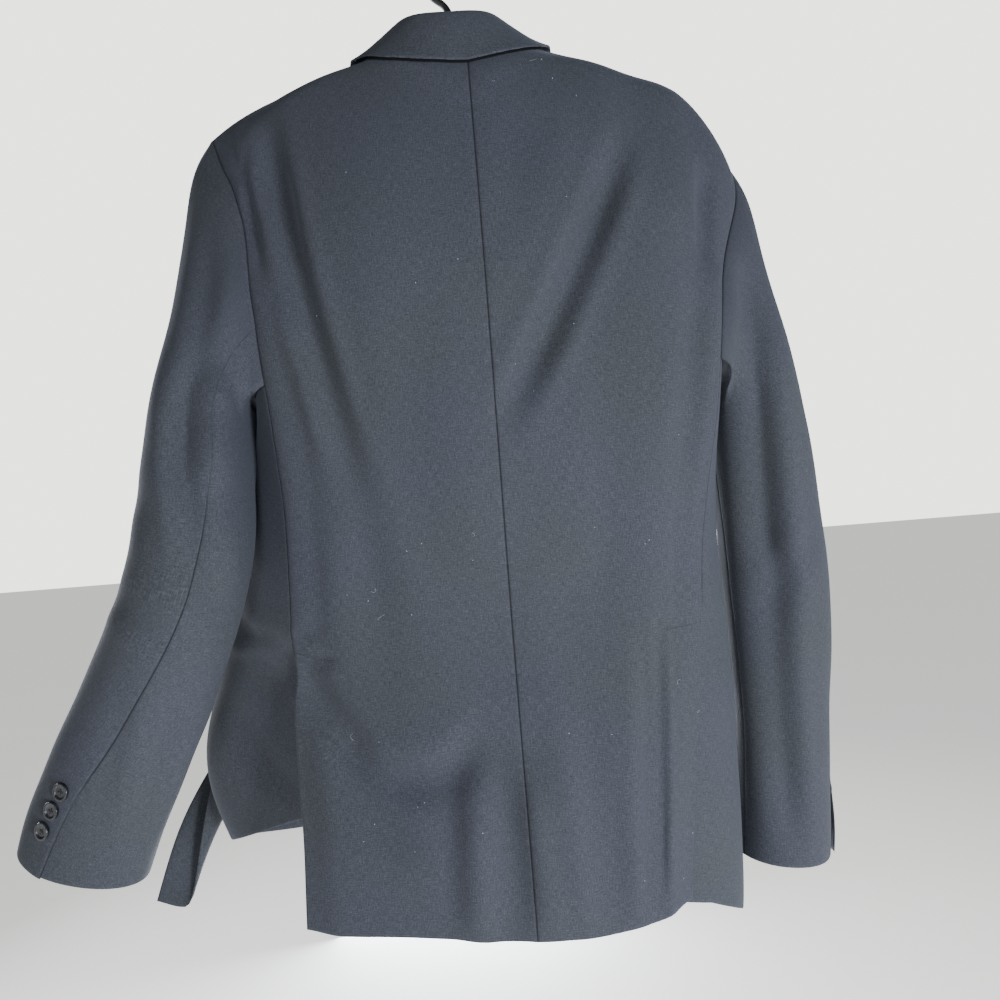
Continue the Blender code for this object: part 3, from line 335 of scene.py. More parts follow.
# %% The arms
LEFT_ARM = (
    # x, y, z, half_width, half_depth, hind_seam
    (253, 26, -432, 42, 54, 124),
    (257, 40, -500, 49, 52, 122),
    (269, 48, -565, 50, 50, 114),
    (298, 43, -632, 53, 46, 100),
    (334, 36, -700, 56, 42, 86),
    (366, 31, -758, 57, 40, 74),
    (382, 29, -798, 56, 39, 68),
)
RIGHT_ARM = (
    # x, y, z, half_width, half_depth, hind_seam
    (260, -11, -440, 41, 53, 34),
    (270, -21, -520, 48, 52, 22),
    (276, -29, -600, 50, 51, 14),
    (277, -33, -680, 48, 49, 10),
    (273, -35, -756, 46, 47, 8),
    (268, -36, -822, 45, 46, 8),
    (264, -36, -875, 45, 46, 8),
)
UNDER_SLEEVE_SPAN = 150  # degrees of the ring that the under sleeve covers
SLEEVE_HEAD = {1: 0.008, -1: 0.004}  # how far the head of the left and of the right sleeve swells
SLEEVE_HEAD_PEAK = 0.20  # how far down the cap it swells most
# The ways in which a sleeve leaves the armhole, x outwards: over the shoulder, more behind it, under the arm.
HEAD_WAY, REAR_WAY, UNDERARM_WAY = (0.38, 0, -0.92), (0, 0.3, 0), (0.95, 0, -0.3)
HEAD_PULL, UNDERARM_PULL = 0.6, 0.4
print("rings down each arm", len(LEFT_ARM), len(RIGHT_ARM))

# %% [markdown]
# ## The collar's lines
# A collar has a roll line, where it turns over, and the edge of its fall. Both are given along the
# neckline, from the centre back (0) over the neck point (1) down to the notch (2). Only one half is in
# the table, and the other is its mirror about the collar's own middle, because a collar is cut on the
# fold.

# %% The collar's lines
COLLAR_MIDDLE_X = 3
COLLAR = (
    # place, roll_x, roll_y, roll_z, edge_x, edge_y, edge_z
    (0.00, 0, 52, -82, 0, 67, -130),
    (0.28, 21, 49, -80, 28, 61, -128),
    (0.55, 38, 36, -75, 53, 48, -120),
    (0.80, 47, 17, -71, 79, 24, -107),
    (1.00, 53, 0, -72, 94, 0, -92),
    (1.25, 64, -30, -86, 106, -36, -117),
    (1.55, 71, -48, -112, 111, -56, -142),
    (1.80, 77, -60, -140, 116, -64, -160),
    (2.00, 80, -66, -163, 118, -68, -172),
)
FALL_LIFT = 0.0046  # how far the fall lies off the cloth below it
CREST_LIFT, CREST_REACH = 0.0006, 0.16  # it stands higher where it crosses the shoulder seam, at place 1
EDGE_DROP, EDGE_DROP_PLACE, EDGE_DROP_REACH = 0.006, 0.72, 0.24  # its edge hangs lower near the shoulders
GORGE, GORGE_REACH = 0.011, 2.5  # how far the collar's end bellies down to the lapel, over how many stations
CREST_TURN, FALL_SPRING = 0.010, 0.42  # how broadly the collar turns over its roll line
COLLAR_OFF, COLLAR_SHORT, COLLAR_TURN, STAND_PULL = 0.0007, 6, 0.020, 0.7
# UNDERCOLLAR_SHOWS is how far the black felt reaches past the fall's edge, a line that is partly painted
# shade.
UNDERCOLLAR_THICK, UNDERCOLLAR_SHOWS, UNDERCOLLAR_TAPER, UNDERCOLLAR_GAP = 0.0009, 0.0008, 0.8, 0.0007
COLLAR_ALONG, COLLAR_STAND, COLLAR_OVER = 14 * DETAIL, 3 * DETAIL, 6 * DETAIL
UNDERCOLLAR_COLUMNS = 2 * DETAIL
print("stations along half the collar", COLLAR_ALONG, "columns across it", COLLAR_STAND + COLLAR_OVER)

# %% [markdown]
# ## The largest folds
# Cloth that hangs from the shoulders falls in long soft folds, and where a front is pulled they run
# towards the pull. They could be sculpted, but a trough between two named points can be moved by changing
# one number. A fold with a negative depth is a ridge.

# %% The largest folds
FOLD_PAST, FOLD_FADE = 0.15, 0.45  # how far a fold runs past its ends, and over what share it dies out
BACK_FOLDS = (
    # x0, z0, x1, z1, width, depth
    (168, -190, 110, -440, 30, 5),
    (-150, -185, -40, -430, 34, 5),
    (-215, -230, -205, -330, 16, 4),
    (183, -632, 70, -775, 26, 7),
    (70, -775, -8, -700, 30, 4),
    (30, -740, 28, -868, 16, -5),
    (-38, -735, -44, -872, 18, -5),
    (-124, -640, -112, -868, 9, 5),
)
print("large folds", len(BACK_FOLDS), "the deepest", max(fold[-1] for fold in BACK_FOLDS), "mm")

# %% [markdown]
# ## Curves
# A natural cubic reads a line at any level, as a bent strip of wood passes through its pins. A cubic arc
# joins two lines. Only numbers are worked out here, so plain functions do it, and the same few serve
# every panel.

# %% Curves
def spline(knots, values, at):
    """Natural cubic through values at knots, read at other places."""
    knots, values, at = (np.asarray(v, float) for v in (knots, values, at))
    step = np.diff(knots)
    count = len(knots)
    system, target = np.eye(count), np.zeros_like(values)
    for i in range(1, count - 1):
        system[i, i - 1 : i + 2] = step[i - 1], 2 * (step[i - 1] + step[i]), step[i]
        target[i] = 6 * ((values[i + 1] - values[i]) / step[i] - (values[i] - values[i - 1]) / step[i - 1])
    bend = np.linalg.solve(system, target)
    k = np.clip(np.searchsorted(knots, at, side="right") - 1, 0, count - 2)
    width = step[k]
    before, after = (knots[k + 1] - at) / width, (at - knots[k]) / width
    shape = (-1,) + (1,) * (values.ndim - 1)
    before, after, width = before.reshape(shape), after.reshape(shape), width.reshape(shape)
    curve = (before**3 - before) * bend[k] + (after**3 - after) * bend[k + 1]
    return before * values[k] + after * values[k + 1] + curve * width**2 / 6


def resampled(values, count):
    """The same rows of numbers, read at another count of even steps."""
    steps, want = np.linspace(0, 1, len(values)), np.linspace(0, 1, count)
    return np.column_stack([np.interp(want, steps, values[:, k]) for k in range(values.shape[1])])


def smooth(x):
    x = np.clip(x, 0, 1)
    return x * x * (3 - 2 * x)


def blend(start, leave, end, arrive, u):
    """A cubic arc from start to end with the given directions there."""
    from_start, from_end = 2 * u**3 - 3 * u**2 + 1, -2 * u**3 + 3 * u**2
    return from_start * start + (u**3 - 2 * u**2 + u) * leave + from_end * end + (u**3 - u**2) * arrive


def unit(v):
    return v / np.linalg.norm(v, axis=-1, keepdims=True)


print("half way along a smooth step:", float(smooth(0.5)))

# %% [markdown]
# ## From lines to cloth
# Between two lines the cloth is drawn as arcs that leave each line along its heading, so that a panel is
# smooth right across its lines and turns a corner only at a seam. The large folds are pressed in along
# the cloth's own outward way.

# %% From lines to cloth
NECK_CORNER = 62  # how much the neckline turns forward where the shoulder seam meets it, in degrees


def line(table, levels, side):
    """A line of the garment at these levels: points in metres and headings in degrees."""
    table = np.array(table, float)
    read = spline(table[:, 0], table[:, 1:], levels)
    points = read[:, :3] * MM
    points[:, 0] *= side
    return points, read[:, 3]


def centre_back(levels):
    table = np.array(CENTRE_BACK, float)
    read = spline(table[:, 0], table[:, 1:], levels)
    points = np.column_stack([np.full(len(read), CENTRE_BACK_X), read]) * MM
    return points, np.zeros(len(read))


def steady(a, b):
    """A slope between two neighbouring ones that never overshoots: their harmonic mean, or level."""
    return np.where(a * b > 0, 2 * a * b / np.where(a * b > 0, a + b, 1), 0)


def across(lines, columns, side, corner=None):
    """The cloth through neighbouring lines: cubic arcs that leave each line along its heading.

    corner turns the second line's heading for the first strip only, as the neck turns at the shoulder seam.
    """
    points = [p for p, _ in lines]
    turns = [t for _, t in lines]
    strips = []
    for k in range(len(lines) - 1):
        start, end = points[k], points[k + 1]
        t0, t1 = turns[k], turns[k + 1]
        if corner is not None and k == 0:
            t1 = t1 + corner
        reach = np.linalg.norm((end - start)[:, :2], axis=1) / np.cos(np.radians(t1 - t0) / 4) ** 2
        rise = end[:, 2] - start[:, 2]
        rises = []
        for at, other in ((k, k - 1), (k + 1, k + 2)):
            if 0 <= other < len(lines):
                own = np.linalg.norm(end - start, axis=1)
                neighbour = np.linalg.norm(points[other] - points[at], axis=1)
                slope = np.sign(other - at) * (points[other][:, 2] - points[at][:, 2]) / neighbour
                even = own * steady(rise / own, slope)
                if corner is not None and at == 1:
                    even = even + (rise - even) * corner / NECK_CORNER
                rises.append(even)
            else:
                rises.append(rise)
        ways = [
            np.column_stack([side * reach * np.cos(np.radians(t)), -reach * np.sin(np.radians(t)), r])
            for t, r in ((t0, rises[0]), (t1, rises[1]))
        ]
        count = columns[k]
        for u in np.linspace(0, 1, count + 1)[: None if k == len(lines) - 2 else -1]:
            strips.append(blend(start, ways[0], end, ways[1], u))
    return np.stack(strips, axis=1)


def normals(grid, side):
    """Unit normals of a grid that runs down and then outwards, pointing out of the garment."""
    down, out = np.gradient(grid, axis=0), np.gradient(grid, axis=1)
    return unit(np.cross(out, down) * side)


def fold(grid, face, table):
    """Presses long soft troughs into a grid of points."""
    spot = grid[..., [0, 2]]
    deep = np.zeros(grid.shape[:2])
    for x0, z0, x1, z1, width, depth in table:
        start, end = np.array([x0, z0]) * MM, np.array([x1, z1]) * MM
        along = end - start
        t = ((spot - start) @ along) / (along @ along)
        gap = np.linalg.norm(spot - (start + np.clip(t, 0, 1)[..., None] * along), axis=-1)
        ends = smooth((t + FOLD_PAST) / FOLD_FADE) * smooth((1 + FOLD_PAST - t) / FOLD_FADE)
        deep += depth * MM * np.exp(-((gap / (width * MM)) ** 2)) * ends
    return grid - face * deep[..., None]


def shared(a, b):
    """Two pieces meet along a seam with one wall direction between them."""
    return unit(a + b)


print("the neckline turns by", NECK_CORNER, "degrees at the shoulder seam")

# %% [markdown]
# ## The panels of the body
# A panel runs from one seam to the next: the back from the centre seam to the side seam, the side panel
# under the arm, the front from there to its buttoned edge. The fronts are carried up to the shoulder seam
# that the back gives them, so neighbours have the very same points along a seam and no gap opens between
# them.

# %% The panels of the body
LEVELS = np.concatenate(
    [
        ARMHOLE_LEVEL * np.linspace(0, 1, ROWS_ARMHOLE + 1) ** 1.25,
        np.linspace(ARMHOLE_LEVEL, VENT_LEVEL, ROWS_WAIST + 1)[1:],
        np.linspace(VENT_LEVEL, HEM_LEVEL, ROWS_VENT + 1)[1:],
    ]
)
UNDERARM, VENT = ROWS_ARMHOLE, ROWS_ARMHOLE + ROWS_WAIST
SHOULDER_COLUMN = COLUMNS_BACK
NECK_FADE, SHOULDER_FADE = 35, 40  # mm down the garment over which the neck's turn and the shoulder die out
VENT_EASE = 60  # mm down the garment over which the side panel sinks behind the back at the vent's top
BACK_LINES = {
    1: (LEFT_BACK_MIDDLE, LEFT_BACK_OUTER, LEFT_BACK_EDGE),
    -1: (RIGHT_BACK_MIDDLE, RIGHT_BACK_OUTER, RIGHT_BACK_EDGE),
}
FRONT_LINES = {
    1: (LEFT_FRONT_ARMHOLE, LEFT_FRONT_FOLD, LEFT_FRONT_PINCH, LEFT_FRONT_STRIP, LEFT_FRONT_EDGE),
    -1: (RIGHT_FRONT_ARMHOLE, RIGHT_FRONT_MIDDLE, RIGHT_FRONT_EDGE),
}


def back_grid(side):
    lines = [centre_back(LEVELS)] + [line(t, LEVELS, side) for t in BACK_LINES[side]]
    corner = NECK_CORNER * np.exp(-((LEVELS / NECK_FADE) ** 2))
    grid = across(lines, [COLUMNS_BACK] * 3, side, corner)
    return fold(grid, normals(grid, side), BACK_FOLDS)


def front_grid(side, back):
    lines = [line(t, LEVELS, side) for t in FRONT_LINES[side]]
    columns = COLUMNS_FRONT // (len(lines) - 1)
    grid = across(lines, [columns] * (len(lines) - 1), side)
    shoulder = back[0, SHOULDER_COLUMN:][::-1]
    return blend_top(grid, shoulder)


def blend_top(grid, shoulder):
    """Carries the top of a front onto the shoulder seam that the back gives it."""
    shift = resampled(shoulder, grid.shape[1]) - grid[0]
    fade = np.exp(-((LEVELS / SHOULDER_FADE) ** 2))
    return grid + fade[:, None, None] * shift[None]


def side_grid(side, back, front):
    """The side panel between the back and the front, with the underlap of its vent behind the back."""
    rows = LEVELS[UNDERARM:]
    _, edge_heading = line(BACK_LINES[side][2], rows, side)
    _, front_heading = line(FRONT_LINES[side][0], rows, side)
    edge = back[UNDERARM:, -1]
    below = smooth((rows - VENT_LEVEL + VENT_EASE / 2) / VENT_EASE)
    if side > 0:
        swung, heading = line(LEFT_SIDE_VENT, np.maximum(rows, VENT_LEVEL), side)
        open_vent = rows > VENT_LEVEL
        edge = np.where(open_vent[:, None], swung, edge)
        edge_heading = np.where(open_vent, heading, edge_heading)
    grid = across([(edge, edge_heading), (front[UNDERARM:, 0], front_heading)], [COLUMNS_SIDE], side)
    face = normals(grid, side)
    sink = VENT_SINK * below[:, None, None] * np.linspace(1, 0, COLUMNS_SIDE + 1)[None, :, None] ** 2
    return grid - face * sink


print("levels", len(LEVELS), "of them above the underarm", UNDERARM, "and above the vent", VENT)

# %% [markdown]
# ## The body, panel to panel
# Two panels that meet in a seam also have to face the same way there, or the thickness of the cloth would
# leave a step. So each seam gets one outward way for both sides: the shoulder, the side seams and the
# centre back.

# %% The body, panel to panel
def build_body():
    pieces = {}
    for side in (1, -1):
        hand = "left" if side > 0 else "right"
        back = back_grid(side)
        front = front_grid(side, back)
        panel = side_grid(side, back, front)
        faces = {"back": normals(back, side), "side": normals(panel, side), "front": normals(front, side)}
        middle = faces["back"][:, 0]
        middle[:, 0] = 0
        faces["back"][:, 0] = unit(middle)
        front_top = resampled(faces["front"][0], 2 * COLUMNS_BACK + 1)
        top = shared(faces["back"][0, SHOULDER_COLUMN:][::-1], front_top)
        faces["back"][0, SHOULDER_COLUMN:] = top[::-1]
        faces["front"][0] = unit(resampled(top, COLUMNS_FRONT + 1))
        rows = slice(UNDERARM, VENT + 1)
        seam = shared(faces["back"][rows, -1], faces["side"][: VENT - UNDERARM + 1, 0])
        faces["back"][rows, -1] = seam
        faces["side"][: VENT - UNDERARM + 1, 0] = seam
        seam = shared(faces["front"][UNDERARM:, 0], faces["side"][:, -1])
        faces["front"][UNDERARM:, 0] = seam
        faces["side"][:, -1] = seam
        pieces[hand] = {"back": back, "side": panel, "front": front, "faces": faces}
    return pieces


body = build_body()
print("columns in a back", body["left"]["back"].shape[1], "in a front", body["left"]["front"].shape[1])

# %% [markdown]
# ## Creases in the body
# Worn and hung wool keeps long soft folds, and short ones where a seam pulls. Each row below is one
# crease: where it starts and ends as seen from behind (or from the front), how far it bows, how wide and
# how deep it is. A crease is a trough with two low lips. A slow uneven ripple under them keeps the panels
# from looking moulded.

# %% Creases in the body
# Columns in mm. The last one says where a crease shows: 1 from behind, -1 from the front, 0 on both sides.
BODY_CREASES = (
    # x0, z0, x1, z1, bow, width, depth, seen
    (203, -165, 196, -212, 2, 4, 1.6, 1),
    (192, -178, 187, -246, 2, 5, 2.0, 1),
    (181, -200, 180, -262, -2, 6, 1.2, 1),
    (192, -212, 185, -318, 1, 6, 1.6, 1),
    (172, -155, 114, -475, 4, 12, 11.0, 1),
    (194, -225, 158, -340, 3, 11, 6.0, 1),
    (128, -420, 96, -600, 5, 20, 3.4, 1),
    (168, -330, 146, -560, -4, 16, 3.2, 1),
    (-140, -205, -20, -440, -5, 12, 11.0, 1),
    (-150, -120, -176, -260, 3, 20, 3.0, 1),
    (-60, -180, -36, -300, 3, 20, 2.2, 1),
    (-214, -222, -203, -322, 2, 8, 3.6, 1),
    (-196, -330, -170, -500, 3, 11, 3.4, 1),
    (184, -632, 112, -732, 4, 13, 6.0, 1),
    (112, -732, 22, -706, 18, 15, 5.5, 1),
    (150, -705, 90, -800, 6, 18, 3.2, 1),
    (185, -629, 138, -639, 0, 4, 4.0, 1),
    (182, -622, 150, -600, 0, 6, 1.8, 1),
    (14, -657, -36, -660, 0, 5, 1.4, 1),
    (28, -730, 38, -872, 2, 12, -4.6, 1),
    (4, -740, 8, -872, 1, 12, 2.6, 1),
    (-18, -738, -22, -872, 0, 12, -4.4, 1),
    (-66, -680, -78, -872, 2, 15, 3.6, 1),
    (-139, -606, -120, -872, 0, 5, 3.2, 1),
    (-112, -650, -96, -872, 0, 10, -1.8, 1),
    (-181, -622, -140, -627, 0, 3, 1.8, 1),
    (60, -330, 48, -600, 6, 26, 2.6, 1),
    (-70, -560, -64, -700, 3, 22, 2.6, 1),
    (245, -612, 186, -631, -5, 9, 3.4, 1),
    (262, -560, 214, -640, 6, 10, 2.6, 1),
    (258, -680, 200, -775, 8, 15, 3.0, 1),
    (186, -178, 150, -300, -5, 12, 2.4, -1),
    (168, -300, 128, -430, 6, 16, 2.8, -1),
    (150, -420, 190, -600, -8, 16, 3.2, -1),
    (210, -560, 262, -700, -6, 14, 2.6, -1),
    (-196, -190, -150, -320, 5, 12, 2.4, -1),
    (-175, -330, -110, -470, -6, 18, 2.8, -1),
    (-60, -490, -140, -560, -6, 14, 2.4, -1),
    (-120, -640, -112, -840, 4, 18, 2.2, -1),
    (-60, -700, -50, -880, -3, 18, 2.0, -1),
)
# Slow waves that run through the cloth: their direction, length in mm, height in mm and phase.
RIPPLES = (
    # x, y, z, length, height, phase
    (0.9, 0.2, 0.3, 150, 0.80, 0.4),
    (0.3, 0.4, 1.0, 210, 0.70, 2.1),
    (1.0, -0.3, -0.6, 96, 0.42, 4.0),
    (-0.7, 0.5, 1.0, 71, 0.22, 1.3),
)
print("creases in the body", len(BODY_CREASES), "slow waves", len(RIPPLES))

# %% [markdown]
# ## Pressing the creases in
# A crease could be left to a cloth simulation, but then nobody could say where it ends up. Here each one
# is a smooth trough that dies out past its ends and turns off on the side of the garment that it doesn't
# belong to. The right side panel also gets its underlap: at a closed vent the cloth runs on behind the
# back's edge.

# %% Pressing the creases in
LIP_PLACE, LIP_WIDTH, LIP_HEIGHT = 1.7, 0.7, 0.3  # a crease's lips, as shares of its width and depth
CREASE_PAST, CREASE_FADE = 0.12, 0.4  # how far a crease runs past its ends, and over what share it dies out
TURN_SHARP, TURN_START = 1.8, 0.1  # how sharply it turns off where the cloth faces the other way
UNDERLAP, UNDERLAP_COLUMNS, UNDERLAP_FADE = 0.012, 5, 25  # metres, columns, mm down the garment


def ripple(points):
    """The height of the cloth's slow unevenness at these points."""
    height = np.zeros(points.shape[:-1])
    for x, y, z, length, high, phase in RIPPLES:
        way = np.array([x, y, z]) / math.sqrt(x * x + y * y + z * z)
        height += high * MM * np.sin(points @ way / (length * MM) * 2 * math.pi + phase)
    return height


def creased(grid, face, table, amount=1.0):
    """Presses the table's creases and the ripple into a grid, along its normals."""
    place = grid[..., [0, 2]]
    deep = -ripple(grid)
    for x0, z0, x1, z1, bow, width, depth, seen in table:
        start, end = np.array([x0, z0]) * MM, np.array([x1, z1]) * MM
        along = end - start
        long = np.linalg.norm(along)
        across_way = np.array([-along[1], along[0]]) / long
        t = ((place - start) @ along) / long**2
        middle = bow * MM * 4 * t * (1 - t)
        off = ((place - start) @ across_way - middle) / (width * MM)
        lips = np.exp(-(((np.abs(off) - LIP_PLACE) / LIP_WIDTH) ** 2))
        ends = smooth((t + CREASE_PAST) / CREASE_FADE) * smooth((1 + CREASE_PAST - t) / CREASE_FADE)
        turned = smooth(face[..., 1] * seen * TURN_SHARP + TURN_START) if seen else 1.0
        deep += depth * MM * (np.exp(-(off**2)) - LIP_HEIGHT * lips) * ends * turned
    return grid - face * (deep * amount)[..., None]


def underlapped(panel, back):
    """Draws the side panel's own edge on behind the back, below the top of the vent."""
    below = smooth((LEVELS[UNDERARM:] - VENT_LEVEL) / UNDERLAP_FADE)[:, None, None]
    inward = unit(back[UNDERARM:, -3] - back[UNDERARM:, -1])[:, None]
    share = np.maximum(1 - np.arange(panel.shape[1]) / UNDERLAP_COLUMNS, 0)[None, :, None]
    return panel + inward * below * share * UNDERLAP


body["right"]["side"] = underlapped(body["right"]["side"], body["right"]["back"])
for hand in body:
    for key in ("back", "side", "front"):
        body[hand][key] = creased(body[hand][key], body[hand]["faces"][key], BODY_CREASES)
print("underlap", UNDERLAP * 1000, "mm behind the right back")

# %% [markdown]
# ## Finishes
# The cloth is a plain-weave worsted: smooth combed yarn, each thread over one and under the next, dyed in
# mixed dark blues and greys so that no two threads are quite alike. Nothing on it is glossy, but a low
# sheen lifts the parts that turn away. Colours are given as they look on a screen and turned to linear
# light by one function.

# %% Colours and a node helper
def colour(code):
    """A screen colour such as #2a3038 as linear red, green, blue and alpha."""
    parts = [int(code[i : i + 2], 16) / 255 for i in (1, 3, 5)]
    return (*[c / 12.92 if c <= 0.04045 else ((c + 0.055) / 1.055) ** 2.4 for c in parts], 1)


def node(tree, kind, inputs=None, **settings):
    """Adds a node with its settings; an input is a value, or the output socket that feeds it."""
    made = tree.nodes.new(kind)
    for key, value in settings.items():
        setattr(made, key, value)
    for key, value in (inputs or {}).items():
        if isinstance(value, bpy.types.NodeSocket):
            tree.links.new(value, made.inputs[key])
        else:
            made.inputs[key].default_value = value
    return made


def blank(name, **surface):
    """A new material with these values set on its shader's own sockets."""
    made = bpy.data.materials.new(name)
    made.use_nodes = True
    shader = made.node_tree.nodes["Principled BSDF"]
    for key, value in surface.items():
        shader.inputs[key.replace("_", " ")].default_value = value
    return made, made.node_tree, shader


print("mid grey in linear light", round(colour("#808080")[0], 3))

# %% [markdown]
# ## Worsted wool
# Real suiting has about 22 threads a centimetre, too fine for this view, so the weave is drawn at 1.2 mm
# and kept faint. The mixed yarns show as fine specks, thicker and thinner threads as short streaks along
# both directions, and the cloth's slow change between a green-grey and a blue-grey as a large soft cloud.

# %% Worsted wool
WEAVE_PITCH = 0.0012  # metres; the real one is about 0.00045, too fine to show
SPECK, STREAK_LONG, STREAK_THIN, CLOUD = 0.0013, 0.007, 0.0006, 0.17  # metres
YARN_LAYERS = {
    # size along x and along y, detail
    "thick_and_thin_warp": (STREAK_THIN, STREAK_LONG, 1.0),
    "thick_and_thin_weft": (STREAK_LONG, STREAK_THIN, 1.0),
    "mixed_fibres": (SPECK, SPECK, 2.0),
    "dye_cloud": (CLOUD, CLOUD, 2.0),
}
STREAK_SHARE, SPECK_SHARE, WEAVE_SHARE = 0.40, 0.55, 0.05  # of the yarn's colour
WEAVE_RELIEF, STREAK_RELIEF, RELIEF_DEPTH = 0.5, 0.8, 0.0002


def woven(tree):
    """The cloth's flat patterns: the weave, its uneven threads, its mixed fibres and the cloud of its dye."""
    uv = node(tree, "ShaderNodeUVMap", uv_map="cloth").outputs["UV"]
    made = {}
    for layer, (size_x, size_y, detail) in YARN_LAYERS.items():
        repeats = (1 / size_x, 1 / size_y, 1)
        sized = node(tree, "ShaderNodeVectorMath", {0: uv, 1: repeats}, operation="MULTIPLY")
        drawn = node(tree, "ShaderNodeTexNoise", {"Vector": sized.outputs[0], "Scale": 1.0, "Detail": detail})
        made[layer] = drawn.outputs["Fac"]
    turn = 2 * math.pi / WEAVE_PITCH
    turns = node(tree, "ShaderNodeVectorMath", {0: uv, 1: (turn, turn, turn)}, operation="MULTIPLY")
    apart = node(tree, "ShaderNodeSeparateXYZ", {0: turns.outputs[0]})
    warp = node(tree, "ShaderNodeMath", {0: apart.outputs[0]}, operation="SINE").outputs[0]
    weft = node(tree, "ShaderNodeMath", {0: apart.outputs[1]}, operation="SINE").outputs[0]
    made["weave"] = node(tree, "ShaderNodeMath", {0: warp, 1: weft}, operation="MULTIPLY").outputs[0]
    both = {0: made["thick_and_thin_warp"], 1: made["thick_and_thin_weft"]}
    made["streaks"] = node(tree, "ShaderNodeMath", both, operation="ADD").outputs[0]
    return made


def together(tree, shares):
    """The sum of patterns, each with its share."""
    total = 0.0
    for pattern, share in shares:
        parts = {0: pattern, 1: share, 2: total}
        total = node(tree, "ShaderNodeMath", parts, operation="MULTIPLY_ADD").outputs[0]
    return total


def worsted(name, deep, middle, light):
    """Wool cloth whose yarn runs from the deep to the light colour, with painted shade along its seams and a
    very low relief.
    """
    made, tree, shader = blank(
        name,
        Roughness=0.86,
        Specular_IOR_Level=0.28,
        Sheen_Weight=0.16,
        Sheen_Roughness=0.45,
        Sheen_Tint=colour("#8d97a6"),
    )
    cloth = woven(tree)
    streaks, weave = cloth["streaks"], cloth["weave"]
    mixed = together(
        tree, ((streaks, STREAK_SHARE), (cloth["mixed_fibres"], SPECK_SHARE), (weave, WEAVE_SHARE))
    )
    yarn = node(tree, "ShaderNodeValToRGB", {"Fac": mixed})
    ramp = yarn.color_ramp
    ramp.elements[0].position, ramp.elements[0].color = 0.42, colour(deep)
    ramp.elements[1].position, ramp.elements[1].color = 0.90, colour(light)
    between = ramp.elements.new(0.66)
    between.color = colour(middle)
    hue = node(tree, "ShaderNodeValToRGB", {"Fac": cloth["dye_cloud"]})
    hue.color_ramp.elements[0].position, hue.color_ramp.elements[0].color = 0.36, colour("#c6c9c2")
    hue.color_ramp.elements[1].position, hue.color_ramp.elements[1].color = 0.64, colour("#c9c8da")
    toned = node(
        tree,
        "ShaderNodeMix",
        {"Factor": 0.55, 6: yarn.outputs["Color"], 7: hue.outputs["Color"]},
        data_type="RGBA",
        blend_type="MULTIPLY",
    )
    # Painted shade: the seam attribute darkens the colour towards near-black along each seam, for the shadow
    # in its groove.
    seam = node(tree, "ShaderNodeAttribute", attribute_name="seam").outputs["Fac"]
    seam_shade_painted = node(
        tree, "ShaderNodeMix", {"Factor": seam, 6: toned.outputs[2], 7: colour("#0a0c0f")}, data_type="RGBA"
    )
    tree.links.new(seam_shade_painted.outputs[2], shader.inputs["Base Color"])
    relief = together(tree, ((weave, WEAVE_RELIEF), (streaks, STREAK_RELIEF)))
    bump = node(tree, "ShaderNodeBump", {"Height": relief, "Strength": 0.35, "Distance": RELIEF_DEPTH})
    tree.links.new(bump.outputs[0], shader.inputs["Normal"])
    return made


WOOL = worsted("worsted_plain_weave", "#232529", "#35383d", "#494c53")
print("worsted weave drawn at", WEAVE_PITCH * 1000, "mm")

# %% [markdown]
# ## Felt, plastic, resin and thread
# The undercollar is a dense black felt with no weave at all, and its near-black also stands partly for
# painted shade under the collar's fall. The hanger is moulded plastic, faintly uneven where it cooled. The
# buttons are dark polished resin, clouded like horn. Thread and lint are fibres.

# %% Felt, plastic, resin and thread
def mottled(name, dark, light, scale, bump=0.0, depth=0.0001, **surface):
    """A finish whose colour wanders between two tones, with as fine a relief."""
    made, tree, shader = blank(name, **surface)
    where = node(tree, "ShaderNodeTexCoord").outputs["Object"]
    cloud = node(tree, "ShaderNodeTexNoise", {"Vector": where, "Scale": 1 / scale, "Detail": 5.0})
    tones = node(tree, "ShaderNodeValToRGB", {"Fac": cloud.outputs["Fac"]})
    tones.color_ramp.elements[0].position, tones.color_ramp.elements[0].color = 0.35, colour(dark)
    tones.color_ramp.elements[1].position, tones.color_ramp.elements[1].color = 0.68, colour(light)
    tree.links.new(tones.outputs["Color"], shader.inputs["Base Color"])
    if bump:
        raised = node(
            tree, "ShaderNodeBump", {"Height": cloud.outputs["Fac"], "Strength": bump, "Distance": depth}
        )
        tree.links.new(raised.outputs[0], shader.inputs["Normal"])
    return made


# Near-black felt: partly the undercollar's own colour, partly painted shade for the shadow under the collar's
# fall.
FELT_AND_PAINTED_SHADE = mottled("undercollar_felt_and_painted_shade", "#040405", "#101114", 0.0008, 0.6, Roughness=0.97, Specular_IOR_Level=0.15)
MOULDED = mottled("moulded_black_plastic", "#0b0b0c", "#161617", 0.004, 0.08, Roughness=0.38)
RESIN = mottled(
    "polished_dark_resin", "#0c0d10", "#2a2c31", 0.005, Roughness=0.22, Coat_Weight=0.3, Coat_Roughness=0.1
)
THREAD = mottled("sewing_thread", "#0e1013", "#23272d", 0.0006, 0.5, Roughness=0.7)
LINT = mottled("white_lint", "#7d828a", "#b4b8be", 0.002, Roughness=0.9)
print("finishes", [m.name for m in (WOOL, FELT_AND_PAINTED_SHADE, MOULDED, RESIN, THREAD, LINT)])

# %% [markdown]
# ## A grid read between its points
# Along a seam the cloth dips into a narrow groove, and along a turned edge it rounds over. Both are finer
# than the grid, so extra rows and columns are put in close to each edge, and nowhere else, to keep the
# mesh light.

# %% A grid read between its points
EDGE_STEPS = (0.0006, 0.0013, 0.0024)  # metres in from an edge


